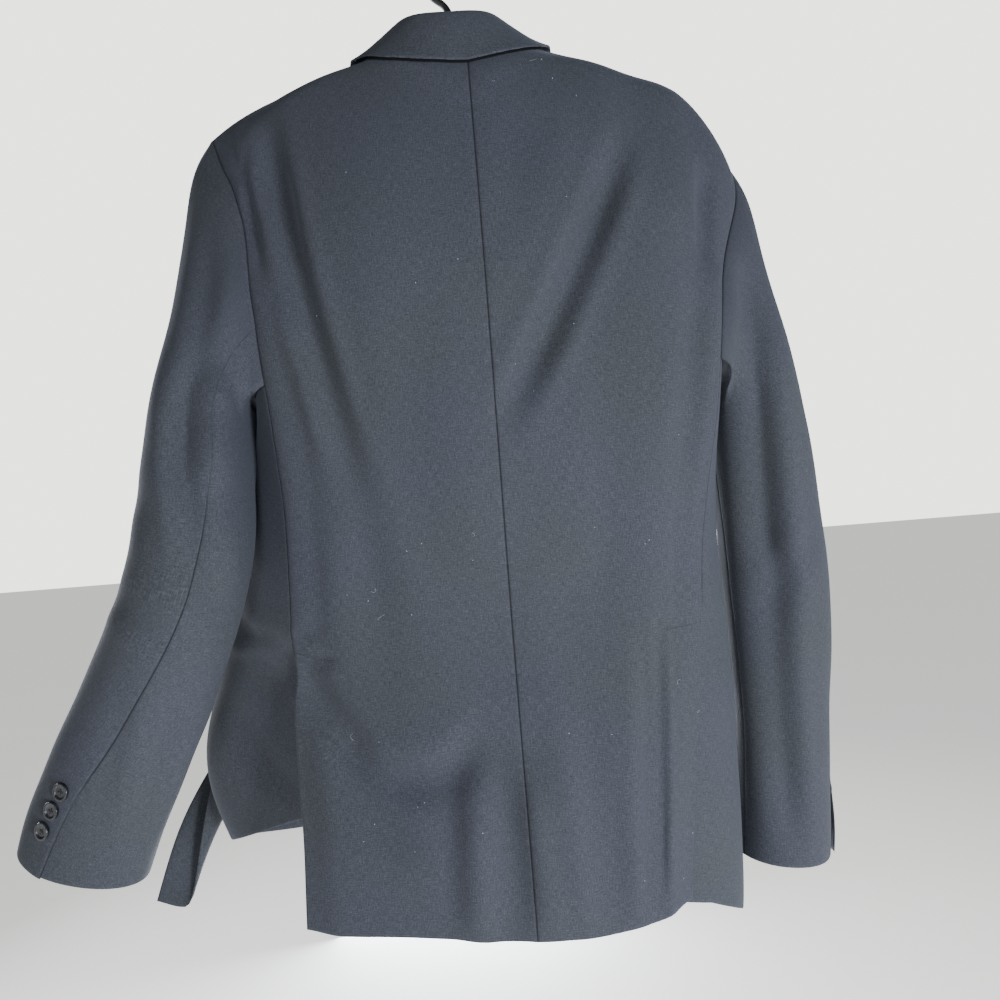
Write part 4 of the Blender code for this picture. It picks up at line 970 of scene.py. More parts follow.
def stations(grid, axis):
    """Places along an axis of a grid, with extra ones beside both ends, and how far each is from the ends."""
    moved = np.moveaxis(grid, axis, 0)
    last = len(moved) - 1
    start = np.linalg.norm(moved[1] - moved[0], axis=-1).mean()
    end = np.linalg.norm(moved[-1] - moved[-2], axis=-1).mean()
    near = [d / start for d in EDGE_STEPS if d < 0.8 * start]
    far = [last - d / end for d in reversed(EDGE_STEPS) if d < 0.8 * end]
    places = np.array([0.0, *near, *range(1, last), *far, float(last)])
    return places, places * start, (last - places) * end


def read_at(grid, places, axis):
    """The grid at places between its rows (axis 0) or its columns (axis 1)."""
    moved = np.moveaxis(grid, axis, 0)
    low = np.clip(places.astype(int), 0, len(moved) - 2)
    t = (places - low).reshape(-1, *[1] * (moved.ndim - 1))
    return np.moveaxis(moved[low] * (1 - t) + moved[low + 1] * t, 0, axis)


print("columns of the left back with its extra ones", len(stations(body["left"]["back"], 1)[0]))

# %% [markdown]
# ## The flat cut
# Each sheet was once flat. Its longest row and column are its size on the cutting table. The same lengths
# give its UV map in metres, laid out with the warp along the panel, so that the weave runs as a cutter
# would lay it.

# %% The flat cut
def cut_of(grid):
    """The flat size and area of a grid of cloth: its longest row, its longest column and its surface."""
    wide = np.linalg.norm(np.diff(grid, axis=1), axis=-1).sum(1).max()
    long = np.linalg.norm(np.diff(grid, axis=0), axis=-1).sum(0).max()
    a, b = grid[1:, :-1] - grid[:-1, :-1], grid[:-1, 1:] - grid[:-1, :-1]
    area = np.linalg.norm(np.cross(a, b), axis=-1).sum()
    return wide, long, min(area, wide * long)


def grain(grid):
    """Flat places in metres for a grid, with the warp along the panel's own length and no shear."""
    warp = unit(np.gradient(grid, axis=0).mean(1))[:, None]
    steps = np.diff(grid, axis=1)
    fall = (steps * warp).sum(-1)
    aside = np.sqrt(np.maximum((steps**2).sum(-1) - fall**2, 0))
    length = np.linalg.norm(np.diff(grid[:, 0], axis=0), axis=-1).cumsum()
    nothing = np.zeros((len(grid), 1))
    across_it = np.concatenate([nothing, aside.cumsum(1)], 1)
    down_it = np.concatenate([nothing, fall.cumsum(1)], 1) + np.append(0, length)[:, None]
    return np.stack([across_it, -down_it], -1)


print("the right back is cut", [round(float(v), 3) for v in cut_of(body["right"]["back"])])

# %% [markdown]
# ## The edges of a piece
# A pressed seam is a fine groove, and the cloth's colour is darkened along it as painted shade. A free edge
# is folded over and pressed, so it is rounded and bulges a little past the cloth. Both shapes fade within a
# millimetre or two of the edge.

# %% The edges of a piece
# SEAM_SHADE is how far from a seam its painted shade reaches.
SEAM_DEPTH, SEAM_REACH, SEAM_SHADE = 0.0010, 0.0009, 0.0006
TURN_DEPTH, TURN_OUT, TURN_MOST = 0.0005, 0.0004, 0.3  # metres, metres, and the most of a wall that it takes


def edge_shapes(away, sewn, mark):
    """How far each point dips on the outer side and rises on the inner one, and how much painted shade its
    seam gets.
    """
    shape = away["top"].shape
    sink, lift, seam = np.zeros(shape), np.zeros(shape), np.zeros(shape)
    for edge, gap in away.items():
        round_off = np.exp(-((gap / SEAM_REACH) ** 1.4))
        if edge in sewn:
            strong = mark[:, None] if edge in ("first", "last") else 1.0
            sink = np.maximum(sink, SEAM_DEPTH * round_off * strong)
            # Painted shade along the seam, strongest at its edge.
            seam = np.maximum(seam, np.exp(-((gap / SEAM_SHADE) ** 2)) * strong)
        else:
            sink = np.maximum(sink, TURN_DEPTH * round_off)
            lift = np.maximum(lift, TURN_DEPTH * round_off)
    return sink, lift, seam


def past_edges(grid, sewn):
    """At the points of the free edges, the way on past the cloth."""
    out = np.zeros_like(grid)
    for edge, here, beside_it in (
        ("first", np.s_[:, 0], np.s_[:, 1]),
        ("last", np.s_[:, -1], np.s_[:, -2]),
        ("top", np.s_[0], np.s_[1]),
        ("bottom", np.s_[-1], np.s_[-2]),
    ):
        if edge not in sewn:
            out[here] += unit(grid[here] - grid[beside_it])
    return out


def wall_faces(place, rim):
    """The faces of the outer side, of the inner side, and of the two strips round the rim that join them."""
    rows, columns = place.shape
    inside, halfway = place.size, 2 * place.size
    faces = []
    for i in range(rows - 1):
        for j in range(columns - 1):
            quad = place[i, j], place[i + 1, j], place[i + 1, j + 1], place[i, j + 1]
            faces.append(quad)
            faces.append(tuple(inside + v for v in reversed(quad)))
    for k in range(len(rim)):
        following = (k + 1) % len(rim)
        a, b, middle_a, middle_b = rim[k], rim[following], halfway + k, halfway + following
        faces.append((b, a, middle_a, middle_b))
        faces.append((middle_b, middle_a, inside + a, inside + b))
    return faces


print("a seam is", SEAM_DEPTH * 1000, "mm deep, a turned edge is rounded by", TURN_DEPTH * 1000, "mm")

# %% [markdown]
# ## A mesh, and its place in the garment
# A grid of points is known exactly, so its mesh is written from a list of points and faces. Every piece then
# says what it belongs to: it moves with the garment and stands for its solid.

# %% A mesh, and its place in the garment
cuts = {}


def mesh_object(name, points, faces, finish):
    mesh = bpy.data.meshes.new(name)
    mesh.from_pydata([tuple(p) for p in points], [], [tuple(int(v) for v in f) for f in faces])
    mesh.materials.append(finish)
    made = bpy.data.objects.new(name, mesh)
    bpy.context.collection.objects.link(made)
    return made


def dress(piece, slot, *nodes):
    """The piece moves with the garment and stands for these nodes of the frame; slot is not used."""
    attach(piece, "root")
    if nodes:
        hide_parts(*nodes)
    return piece


def painted(piece, flat, seam):
    """Gives the piece its flat cut as a UV map, and the painted shade of its seams at each point as an
    attribute.
    """
    mesh = piece.data
    corner = np.empty(len(mesh.loops), np.int32)
    mesh.loops.foreach_get("vertex_index", corner)
    mesh.uv_layers.new(name="cloth").data.foreach_set("uv", flat[corner].astype(np.float32).ravel())
    mesh.attributes.new("seam", "FLOAT", "POINT").data.foreach_set("value", seam.astype(np.float32))


# %% [markdown]
# ## A piece of cloth
# The grid is the outer side, and the wall goes inwards by the cloth's thickness. Solidify could do that too,
# but it knows nothing of seams, so the wall is built here with its grooves and rounded edges. The piece's
# flat size is kept under its name.

# %% A piece of cloth
def cloth_piece(
    name, grid, face, sewn=(), thick=WALL, finish=WOOL, slot="wool_suiting", mark=None
):
    """A sheet of cloth, grooved along its sewn edges and rounded at its free ones.

    mark fades the grooves of the first and the last column, and their painted shade, row by row.
    """
    wide, long, area = cut_of(grid)
    row_places, from_top, from_bottom = stations(grid, 0)
    column_places, from_first, from_last = stations(grid, 1)
    mark = np.ones(len(row_places)) if mark is None else read_at(np.array(mark, float), row_places, 0)
    grid = read_at(read_at(grid, row_places, 0), column_places, 1)
    face = unit(read_at(read_at(face, row_places, 0), column_places, 1))
    rows, columns = grid.shape[:2]
    away = {
        "top": np.repeat(from_top[:, None], columns, 1),
        "bottom": np.repeat(from_bottom[:, None], columns, 1),
        "first": np.repeat(from_first[None], rows, 0),
        "last": np.repeat(from_last[None], rows, 0),
    }
    sink, lift, seam = edge_shapes(away, sewn, mark)
    outer = (grid - face * sink[..., None]).reshape(-1, 3)
    inner = (grid - face * (thick - np.minimum(lift, thick * TURN_MOST))[..., None]).reshape(-1, 3)
    place = np.arange(rows * columns).reshape(rows, columns)
    rim = [*place[:, 0], *place[-1, 1:], *place[-2::-1, -1], *place[0, -2:0:-1]]
    past = past_edges(grid, sewn).reshape(-1, 3)
    middle = (outer[rim] + inner[rim]) / 2 + past[rim] * TURN_OUT
    faces = wall_faces(place, rim)
    winding = np.cross(grid[1:, :-1] - grid[:-1, :-1], grid[:-1, 1:] - grid[:-1, :-1])
    if (winding * face[:-1, :-1]).sum() < 0:
        faces = [tuple(reversed(f)) for f in faces]
    piece = mesh_object(f"{name}_cloth", np.vstack([outer, inner, middle]), faces, finish)
    flat = grain(grid).reshape(-1, 2)
    # The seams' painted shade on the outer side and the rim, none on the inner side.
    shade = [seam.ravel(), np.zeros(rows * columns), seam.ravel()[rim]]
    painted(piece, np.vstack([flat, flat, flat[rim]]), np.concatenate(shade))
    piece.data.shade_smooth()
    dress(piece, slot, name)
    wide, long, area = round(float(wide), 3), round(float(long), 3), round(float(area), 4)
    cuts[name] = wide, long, area
    return piece


def lapped(grid, first=False, last=False, top=False):
    """The same grid with the named edges run a little past the seam, so that neighbours close up."""
    grid = grid.copy()
    if first:
        grid[:, 0] += unit(grid[:, 0] - grid[:, 1]) * SEAM_LAP
    if last:
        grid[:, -1] += unit(grid[:, -1] - grid[:, -2]) * SEAM_LAP
    if top:
        grid[0] += unit(grid[0] - grid[1]) * SEAM_LAP
    return grid


print("cloth is", WALL * 1000, "mm thick, and neighbours lap by", SEAM_LAP * 1000, "mm")

# %% [markdown]
# ## The hanger and its hook
# Both are moulded in one plastic. The frame already has their shape in few faces, so a copy of each is
# merged and rounded with a subdivision surface, as a modeller would smooth a blocked-out shape.

# %% The hanger and its hook
MERGE_DISTANCE, FLAT_ENOUGH, ROUNDING_LEVELS = 0.00002, 1.2, 2


def rounded_copy(source, finish, slot):
    """A merged copy of a node of the frame, rounded by a subdivision surface that is then applied."""
    bpy.ops.object.select_all(action="DESELECT")
    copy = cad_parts[source].copy()
    copy.data = copy.data.copy()
    copy.name = source + "_smooth"
    for key in list(copy.keys()):
        if key.startswith("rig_"):
            del copy[key]
    copy.parent = None
    bpy.context.collection.objects.link(copy)
    bpy.context.view_layer.objects.active = copy
    copy.select_set(True)
    bpy.ops.object.mode_set(mode="EDIT")
    bpy.ops.mesh.select_all(action="SELECT")
    bpy.ops.mesh.remove_doubles(threshold=MERGE_DISTANCE)
    bpy.ops.mesh.tris_convert_to_quads(face_threshold=FLAT_ENOUGH, shape_threshold=FLAT_ENOUGH)
    bpy.ops.object.mode_set(mode="OBJECT")
    rounding = copy.modifiers.new("rounding", "SUBSURF")
    rounding.levels = rounding.render_levels = ROUNDING_LEVELS
    bpy.ops.object.modifier_apply(modifier=rounding.name)
    copy.data.shade_smooth()
    copy.data.materials.clear()
    copy.data.materials.append(finish)
    dress(copy, slot, source)
    return copy


hanger = rounded_copy("hanger_body", MOULDED, "hanger_plastic")
hook = rounded_copy("hanger_hook", MOULDED, "hanger_plastic")
print("hanger faces", len(hanger.data.polygons), "hook faces", len(hook.data.polygons))

# %% [markdown]
# ## The armhole and the arm
# A sleeve is sewn to the armhole, so its tube starts on the armhole's own edge, point for point. What has
# to be settled first is which point of that loop runs to which side of the arm, and where the two sleeve
# seams start.

# %% The armhole and the arm
def arm_rings(table, side, count):
    """Rings down the arm: centres, the way out, the way back, half sizes and seam angles."""
    table = np.array(table, float)
    reach = np.concatenate([[0], np.cumsum(np.linalg.norm(np.diff(table[:, :3], axis=0), axis=1))])
    at = np.linspace(0, reach[-1], count + 1)
    read = spline(reach, table, at)
    centre = read[:, :3] * MM
    centre[:, 0] *= side
    along = unit(np.gradient(centre, axis=0))
    back = unit(np.array([0, 1.0, 0]) - along * along[:, [1]])
    out = np.cross(along, back) * side
    out *= np.sign(out[:, [0]] * side)
    return centre, out, back, read[:, 3:5] * MM, read[:, 5]


def armhole(back, side_top, front):
    """The armhole's loop: down the back from the shoulder, under the arm and up the front."""
    return np.vstack([back[: UNDERARM + 1], side_top[1:-1], front[UNDERARM::-1]])


def loop_angles(loop):
    """Where each point of the armhole lands round the arm: the tip at 0, the lowest under the arm at 180."""
    run = np.concatenate([[0], np.cumsum(np.linalg.norm(np.diff(loop, axis=0), axis=1))])
    low = UNDERARM + COLUMNS_SIDE // 2
    first = run[: low + 1] / run[low] * 180
    second = 180 + (run[low + 1 :] - run[low]) / (run[-1] - run[low]) * 180
    return np.concatenate([first, second])


def seams(loop, hind):
    """The columns of the armhole's loop where the sleeve's two seams start, at the frame's own columns."""
    angle = loop_angles(loop)[::DETAIL]
    return [DETAIL * int(np.argmin(np.abs(angle - want))) for want in (hind[0], hind[0] + UNDER_SLEEVE_SPAN)]


def tube_angles(loop, hind):
    """Where each column of the sleeve runs round the arm, from the hind seam: under sleeve, then top."""
    angle = loop_angles(loop)
    first, second = seams(loop, hind)
    order = list(range(first, len(loop))) + list(range(1, first + 1))
    under = second - first
    own = np.concatenate([angle[first:], angle[1 : first + 1] + 360])
    split = own[under]
    below = (own - own[0]) / (split - own[0]) * UNDER_SLEEVE_SPAN
    above = (own - split) / (own[0] + 360 - split) * (360 - UNDER_SLEEVE_SPAN)
    turned = np.where(own <= split, below, UNDER_SLEEVE_SPAN + above)
    return order, under, np.radians(hind[:, None] + turned)


print("points round the armhole", 2 * UNDERARM + COLUMNS_SIDE + 1)

# %% [markdown]
# ## The tube of a sleeve
# The cap of a sleeve falls steeply from the shoulder with a full head, and leaves the underarm almost
# level before it turns down. From there the tube runs through the rings. Two seams down the arm split it
# into a top and an under sleeve.

# %% The tube of a sleeve
def sleeve_tube(table, side, loop):
    """A closed tube of columns from the armhole down the arm, its first column on the hind seam."""
    centre, out, back, half, hind = arm_rings(table, side, ROWS_ARM)
    order, under, angle = tube_angles(loop, hind)
    start = loop[order]
    across_arm = np.cos(angle)[..., None] * out[:, None] * half[:, 0][:, None, None]
    depth = np.sin(angle)[..., None] * back[:, None] * half[:, 1][:, None, None]
    rings = centre[:, None] + across_arm + depth
    reach = np.linalg.norm(rings[0] - start, axis=1, keepdims=True)
    rear = np.sin(angle[0])[:, None]
    below = np.maximum(-np.cos(angle[0]), 0)[:, None]
    outwards = np.array([side, 1, 1])
    over_way = np.array(HEAD_WAY) * outwards + np.array(REAR_WAY) * rear
    under_way = np.array(UNDERARM_WAY) * outwards
    pull = HEAD_PULL + UNDERARM_PULL * below
    leave = unit(over_way * (1 - below) + under_way * below) * reach * pull
    arrive = unit(rings[1] - rings[0]) * reach
    over = np.maximum(np.cos(angle[0]), 0)[:, None] * out[0] * SLEEVE_HEAD[side]
    cap = []
    for u in np.linspace(0, 1, ROWS_CAP + 1)[:-1]:
        swell = (u / SLEEVE_HEAD_PEAK * math.exp(1 - u / SLEEVE_HEAD_PEAK)) ** 2
        cap.append(blend(start, leave, rings[0], arrive, u) + over * swell)
    return np.concatenate([np.stack(cap), rings]), order, under


def sleeve_normals(tube, side):
    """Normals of a closed tube of columns."""
    ring = np.concatenate([tube[:, -2:-1], tube, tube[:, 1:2]], axis=1)
    down, round_arm = np.gradient(ring, axis=0), np.gradient(ring, axis=1)
    return unit(np.cross(down, round_arm)[:, 1:-1] * side)


def sleeve_of(piece, side):
    """One arm's tube and its normals; the panels round the armhole take the same normals at that seam."""
    faces = piece["faces"]
    loop = armhole(piece["back"][:, -1], piece["side"][0], piece["front"][:, 0])
    tube, order, under = sleeve_tube(LEFT_ARM if side > 0 else RIGHT_ARM, side, loop)
    face = sleeve_normals(tube, side)
    body_face = armhole(faces["back"][:, -1], faces["side"][0], faces["front"][:, 0])
    body_face[0] = body_face[-1] = unit(body_face[0] + body_face[-1])
    face[0] = shared(face[0], body_face[order])
    meet = np.empty_like(body_face)
    meet[order] = face[0]
    meet[0] = meet[-1]
    faces["back"][: UNDERARM + 1, -1] = meet[: UNDERARM + 1]
    faces["side"][0] = meet[UNDERARM : UNDERARM + COLUMNS_SIDE + 1]
    faces["front"][: UNDERARM + 1, 0] = meet[-1 : -UNDERARM - 2 : -1]
    return tube, face, under


print("rows down a sleeve", ROWS_CAP + ROWS_ARM + 1)

# %% [markdown]
# ## Creases in the sleeves, and the cuff's vent
# A sleeve creases across the inside of its elbow and sinks in a long hollow beside the body. Its creases
# are rows of the same kind as the body's. At the cuff the hind-arm seam is left open as a vent: the top
# sleeve stands off there and laps over the under sleeve, which is where the cuff's buttons go.

# %% Creases in the sleeves, and the cuff's vent
SLEEVE_CREASES = {
    "left": (
        # x0, z0, x1, z1, bow, width, depth, seen
        (222, -380, 226, -480, 0, 15, -9.5, 0),
        (228, -230, 240, -430, -3, 11, 4.0, 1),
        (245, -380, 232, -590, 5, 12, 6.0, 1),
        (262, -330, 272, -520, 3, 16, -1.8, 1),
        (300, -470, 250, -560, -8, 14, 2.0, 1),
        (322, -560, 262, -612, -8, 12, 2.2, 1),
        (300, -640, 346, -780, 4, 14, 1.6, 1),
        (262, -640, 318, -780, 4, 13, 5.0, 1),
        (236, -330, 250, -470, 3, 14, 2.0, -1),
        (296, -530, 236, -570, 6, 12, 2.2, -1),
        (330, -600, 268, -650, 8, 12, 2.0, -1),
        (320, -660, 360, -780, 4, 14, 1.6, -1),
    ),
    "right": (
        # x0, z0, x1, z1, bow, width, depth, seen
        (-232, -300, -256, -400, -3, 9, 2.4, 1),
        (-246, -320, -258, -640, 4, 15, 10.0, 1),
        (-286, -330, -300, -520, 2, 14, -1.4, 1),
        (-232, -545, -282, -628, -6, 12, 1.8, 1),
        (-300, -560, -250, -640, 6, 12, 1.6, 1),
        (-256, -600, -262, -860, 3, 14, 6.0, 1),
        (-240, -320, -258, -470, -3, 14, 2.0, -1),
        (-300, -540, -236, -600, -6, 12, 2.2, -1),
        (-310, -610, -250, -660, -6, 12, 1.8, -1),
        (-280, -680, -272, -860, 4, 16, 1.4, -1),
    ),
}
CAP_FADE_ROWS = 3 * DETAIL  # a sleeve's creases die out towards the armhole, where it is sewn to the body
CUFF_VENT, CUFF_VENT_TOP, CUFF_SPREAD = 0.100, 1.15, 0.014  # how far up from the cuff, and how broadly
CUFF_OPEN = {"left": (0.0016, 0.004), "right": (0.0040, 0.0070)}  # how far it stands off and laps over


def vented(cloth, face, hand):
    """Lifts the top sleeve's edge off the under sleeve and laps it over, along the cuff's vent."""
    off, over = CUFF_OPEN[hand]
    up = np.linalg.norm(np.diff(cloth[:, -1], axis=0), axis=-1)[::-1].cumsum()[::-1]
    up = np.append(up, 0)
    inward = np.linalg.norm(cloth - cloth[:, -1:], axis=-1)
    share = smooth(CUFF_VENT_TOP - up / CUFF_VENT)[:, None] * np.exp(-((inward / CUFF_SPREAD) ** 2))
    over_way = unit(cloth[:, -1:] - cloth[:, -4:-3])
    return cloth + (face * off + over_way * over) * share[..., None]


print("creases in the sleeves", {hand: len(rows) for hand, rows in SLEEVE_CREASES.items()})

# %% [markdown]
# ## Sewing the body and the sleeves
# Each panel is given with the names of its sewn edges: first and last are its two long sides, top is
# where it hangs from its neighbour. What isn't named is a free edge, such as a hem, a cuff or a front's
# edge. All of it hangs on the hanger.

# %% Sewing the body and the sleeves
SEAM_HIDDEN = {"left": 0.8, "right": 0.3}  # how far a sleeve's seams sink out of sight above the elbow
ELBOW_Z, ELBOW_FADE = -0.56, 0.10
SEWN_SIDES = ("first", "last", "top")
sleeves = {}
for hand, side in (("left", 1), ("right", -1)):
    piece = body[hand]
    tube, face, under = sleeve_of(piece, side)
    fade = smooth((np.arange(len(tube)) - 1) / CAP_FADE_ROWS)[:, None]
    tube = creased(tube, face, SLEEVE_CREASES[hand], fade)
    faces = piece["faces"]
    back = lapped(piece["back"], first=True, top=True)
    cloth_piece(f"back_{hand}", back, faces["back"], SEWN_SIDES)
    panel = lapped(piece["side"], last=True, top=True)
    cloth_piece(f"side_{hand}", panel, faces["side"], SEWN_SIDES)
    front = lapped(piece["front"], first=True, top=True)
    cloth_piece(f"front_{hand}", front, faces["front"], ("first", "top"))
    for which, columns in (("under", slice(0, under + 1)), ("top", slice(under, None))):
        strip, strip_face = tube[:, columns], face[:, columns]
        if which == "top":
            strip = vented(strip, strip_face, hand)
            sleeves[hand] = strip, strip_face
        name = f"{which}_sleeve_{hand}"
        mark = 1 - SEAM_HIDDEN[hand] * smooth((strip[:, 0, 2] - ELBOW_Z) / ELBOW_FADE)
        strip = lapped(strip, first=True, last=True, top=True)
        cloth_piece(name, strip, strip_face, SEWN_SIDES, mark=mark)
for name, (wide, long, area) in cuts.items():
    print(f"{name}: {wide:.3f} x {long:.3f} m, {area:.4f} m2")

# %% [markdown]
# ## Places on a panel
# A flap or a button is set by measure: so far down the garment and so far in from an edge. These
# functions turn such a measure into a point on the cloth and the way the cloth faces there.

# %% Places on a panel
AT_LAST_EDGE = -1e-6  # a distance of nothing, counted back from a row's last edge


def beside(grid, face, row, reach):
    """A point of a grid and its normal, so far along a row from its first edge (or back from its last)."""
    i = min(int(row), len(grid) - 2)
    t = row - i
    points, ways = grid[i] * (1 - t) + grid[i + 1] * t, face[i] * (1 - t) + face[i + 1] * t
    run = np.concatenate([[0], np.cumsum(np.linalg.norm(np.diff(points, axis=0), axis=1))])
    if reach < 0:
        reach = run[-1] + reach
    both = np.concatenate([points, ways], axis=1)
    read = np.array([np.interp(reach, run, both[:, k]) for k in range(6)])
    return read[:3], unit(read[3:])


def spot(grid, face, level, reach):
    """A point of a panel at a level of the garment."""
    return beside(grid, face, np.interp(level, LEVELS, np.arange(len(LEVELS))), reach)


def patch(grid, face, levels, reaches, lift):
    """A piece laid on a panel: levels[i][j] and reaches[i][j] are its grid, moved out by lift[i][j]."""
    points, ways = [], []
    for i in range(len(levels)):
        row = [spot(grid, face, levels[i][j], reaches[i][j]) for j in range(len(levels[i]))]
        points.append([p + n * lift[i][j] for j, (p, n) in enumerate(row)])
        ways.append([n for _, n in row])
    return np.array(points), np.array(ways)


where, _ = spot(body["right"]["front"], body["right"]["faces"]["front"], BUTTON_LEVEL, AT_LAST_EDGE)
print("the top button's place on the right front's edge", [round(float(v), 3) for v in where])

# %% [markdown]
# ## Lapels
# A lapel is the front's own cloth above the top button, turned back. It could be cut out of the front and
# bent over. It is worked out from the front's points instead, so that it lies true: a roll round the
# front's edge, then rows laid back on the chest that spring off it a little beside the roll.

# %% Lapels
LAPEL_ROWS, LAPEL_COLUMNS, LAPEL_LOOK_BACK = 13 * DETAIL, 6 * DETAIL, 0.004


def lapel(hand, piece):
    """The front's own cloth above the top button, rolled round its edge and laid back on the chest."""
    grid, face = piece["front"], piece["faces"]["front"]
    knots = np.arange(len(LAPEL_ROLL))
    roll = spline(knots, np.array(LAPEL_ROLL, float), np.linspace(0, knots[-1], 4 * knots[-1] + 1))
    points, ways = [], []
    for down in np.linspace(0, 1, LAPEL_ROWS + 1):
        width = LAPEL_WIDTH * (1 - down) ** LAPEL_TAPER + LAPEL_FOOT
        row, way = [], []
        level = LAPEL_TOP + (LAPEL_END - LAPEL_TOP) * down
        edge, out = spot(grid, face, level, AT_LAST_EDGE)
        near, _ = spot(grid, face, level, -LAPEL_LOOK_BACK)
        beyond = unit(edge - near)
        for a, n, lean in roll:
            row.append(edge + (beyond * a + out * n) * MM)
            turn = math.radians(lean)
            way.append(unit(beyond * math.sin(turn) + out * math.cos(turn)))
        for step in np.linspace(0, 1, LAPEL_COLUMNS + 1)[1:]:
            slant = LAPEL_TOP - LAPEL_RISE * step
            own = slant + (LAPEL_END - slant) * down
            p, n = spot(grid, face, own, -width * step)
            spring = LAPEL_SPRING * math.exp(-width * step / LAPEL_SPRING_REACH)
            row.append(p + n * (WALL + LAPEL_LIFT + spring))
            way.append(n)
        points.append(row)
        ways.append(way)
    points, ways = np.array(points), np.array(ways)
    return cloth_piece(f"lapel_{hand}", points, ways)


print("a lapel is", LAPEL_WIDTH * 1000, "mm wide at its notch and rolls from", LAPEL_TOP, "to", LAPEL_END)

# %% [markdown]
# ## Flaps and the breast welt
# A flap is a small oblong of cloth, sewn in at its top and free below, with its lower corners a little
# rounded. The breast welt is a narrower one. Each follows the panel that it lies on, moved out by a
# little more than the cloth's thickness.

# %% Flaps and the breast welt
FLAP_ROWS, FLAP_COLUMNS = 3 * DETAIL, 12 * DETAIL
FLAP_CORNER, FLAP_CORNER_SHARP = 0.10, 8  # how much shorter its ends are, and how close to the corner


def pocket_piece(name, hand, level, slant, inset, width, depth):
    """A flap or welt: an oblong laid on a front, its lower edge a little rounded at the ends."""
    steps = np.linspace(0, 1, FLAP_COLUMNS + 1)
    levels, reaches = [], []
    for down in np.linspace(0, 1, FLAP_ROWS + 1):
        ends = 1 - FLAP_CORNER * (2 * np.abs(steps - 0.5)) ** FLAP_CORNER_SHARP
        levels.append(level + slant * steps + depth / MM * down * ends)
        reaches.append(inset + width * steps)
    lift = np.full((FLAP_ROWS + 1, len(steps)), WALL + LIES_OFF)
    front = body[hand]["front"], body[hand]["faces"]["front"]
    grid, face = patch(*front, levels, reaches, lift)
    return cloth_piece(name, grid, face, ("top",))


for hand in ("left", "right"):
    lapel(hand, body[hand])
    pocket_piece(f"pocket_flap_{hand}", hand, FLAP_LEVEL, FLAP_SLANT, FLAP_INSET, FLAP_WIDTH, FLAP_DEPTH)
pocket_piece("breast_welt", "left", WELT_LEVEL, WELT_SLANT, WELT_INSET, WELT_WIDTH, WELT_DEPTH)
print("lapel cut", cuts["lapel_left"], "flap cut", cuts["pocket_flap_left"])

# %% [markdown]
# ## What the collar lies on
# The fall of a collar rests on the cloth of the back and the fronts. A search tree of that surface gives
# the nearest point of it, so that a collar's point can be lifted just clear, and no two layers cut
# through each other.

# %% What the collar lies on
TOUCHING, SIDE_SURE = 1e-4, 0.2  # metres; the share of a gap that has to be along the cloth's own way


def cloth_tree(body):
    """The outer sides of the backs and fronts as one surface, for laying the collar over them."""
    points, faces = [], []
    for hand in body:
        for key in ("back", "front"):
            grid = body[hand][key]
            rows, columns = grid.shape[:2]
            first = len(points)
            points += [tuple(p) for p in grid.reshape(-1, 3)]
            for i in range(rows - 1):
                for j in range(columns - 1):
                    a = first + i * columns + j
                    quad = a, a + columns, a + columns + 1, a + 1
                    faces.append(quad if hand == "right" else quad[::-1])
    return BVHTree.FromPolygons(points, faces)


def laid(point, tree, least, most=None):
    """The point, moved if need be so that it stands at least (and at most) so far off the cloth."""
    near, way, _, gap = tree.find_nearest(Vector(point))
    off = np.array(point) - np.array(near)
    way = np.array(way)
    if gap > TOUCHING and abs(off @ way) > SIDE_SURE * gap:
        way = off / gap * np.sign(off @ way)
        gap = gap * np.sign(off @ way)
    want = max(gap, least) if most is None else min(max(gap, least), most)
    return np.array(near) + way * want if want != gap else np.array(point)


def neckline(piece):
    """The neck edge of one half: along the back's top from the middle, then down the front's roll line."""
    low = int(np.searchsorted(LEVELS, NOTCH_LEVEL))
    edges = (
        (piece["back"][0, : SHOULDER_COLUMN + 1], piece["back"][1], piece["faces"]["back"][0]),
        (piece["front"][1 : low + 1, -1], piece["front"][1:, -2], piece["faces"]["front"][1:, -1]),
    )
    points = np.vstack([edge for edge, _, _ in edges])
    beyond = np.vstack([unit(edge - inner[: len(edge)]) for edge, inner, _ in edges])
    ways = np.vstack([way[: len(edge)] for edge, _, way in edges])
    run = np.concatenate([[0], np.cumsum(np.linalg.norm(np.diff(points, axis=0), axis=1))])
    neck = run[SHOULDER_COLUMN]
    last = np.interp(NOTCH_LEVEL - COLLAR_SHORT, LEVELS[: low + 1], run[SHOULDER_COLUMN:])
    place = np.where(run < neck, run / neck, 1 + (run - neck) / (last - neck))
    return place, np.hstack([points, beyond, ways])


def collar_half(piece, side):
    """One side's stations: places, the neckline, its way on, its normal, the roll and the fall's edge."""
    table = np.array(COLLAR, float)
    places = np.linspace(0, 2, COLLAR_ALONG + 1)
    read = spline(table[:, 0], table[:, 1:], places) * MM
    place, seam = neckline(piece)
    along = np.column_stack([np.interp(places, place, seam[:, k]) for k in range(seam.shape[1])])
    foot, beyond, way = np.split(along, 3, 1)
    roll, edge = read[:, :3].copy(), read[:, 3:].copy()
    for part in (roll, edge):
        part[:, 0] = part[:, 0] * side + COLLAR_MIDDLE_X * MM
    return places, foot, unit(beyond), unit(way), roll, edge


neck_place, _ = neckline(body["left"])
print("points along the left half of the neckline", len(neck_place))

# %% [markdown]
# ## The collar
# A collar stands up from the neckline, rolls over and falls back on the cloth. It is one grid from notch
# to notch: a stand of a few columns, a broad turn, and a fall whose edge is kept just off the cloth. It
# bellies down at both ends, where it meets the lapel at the gorge.

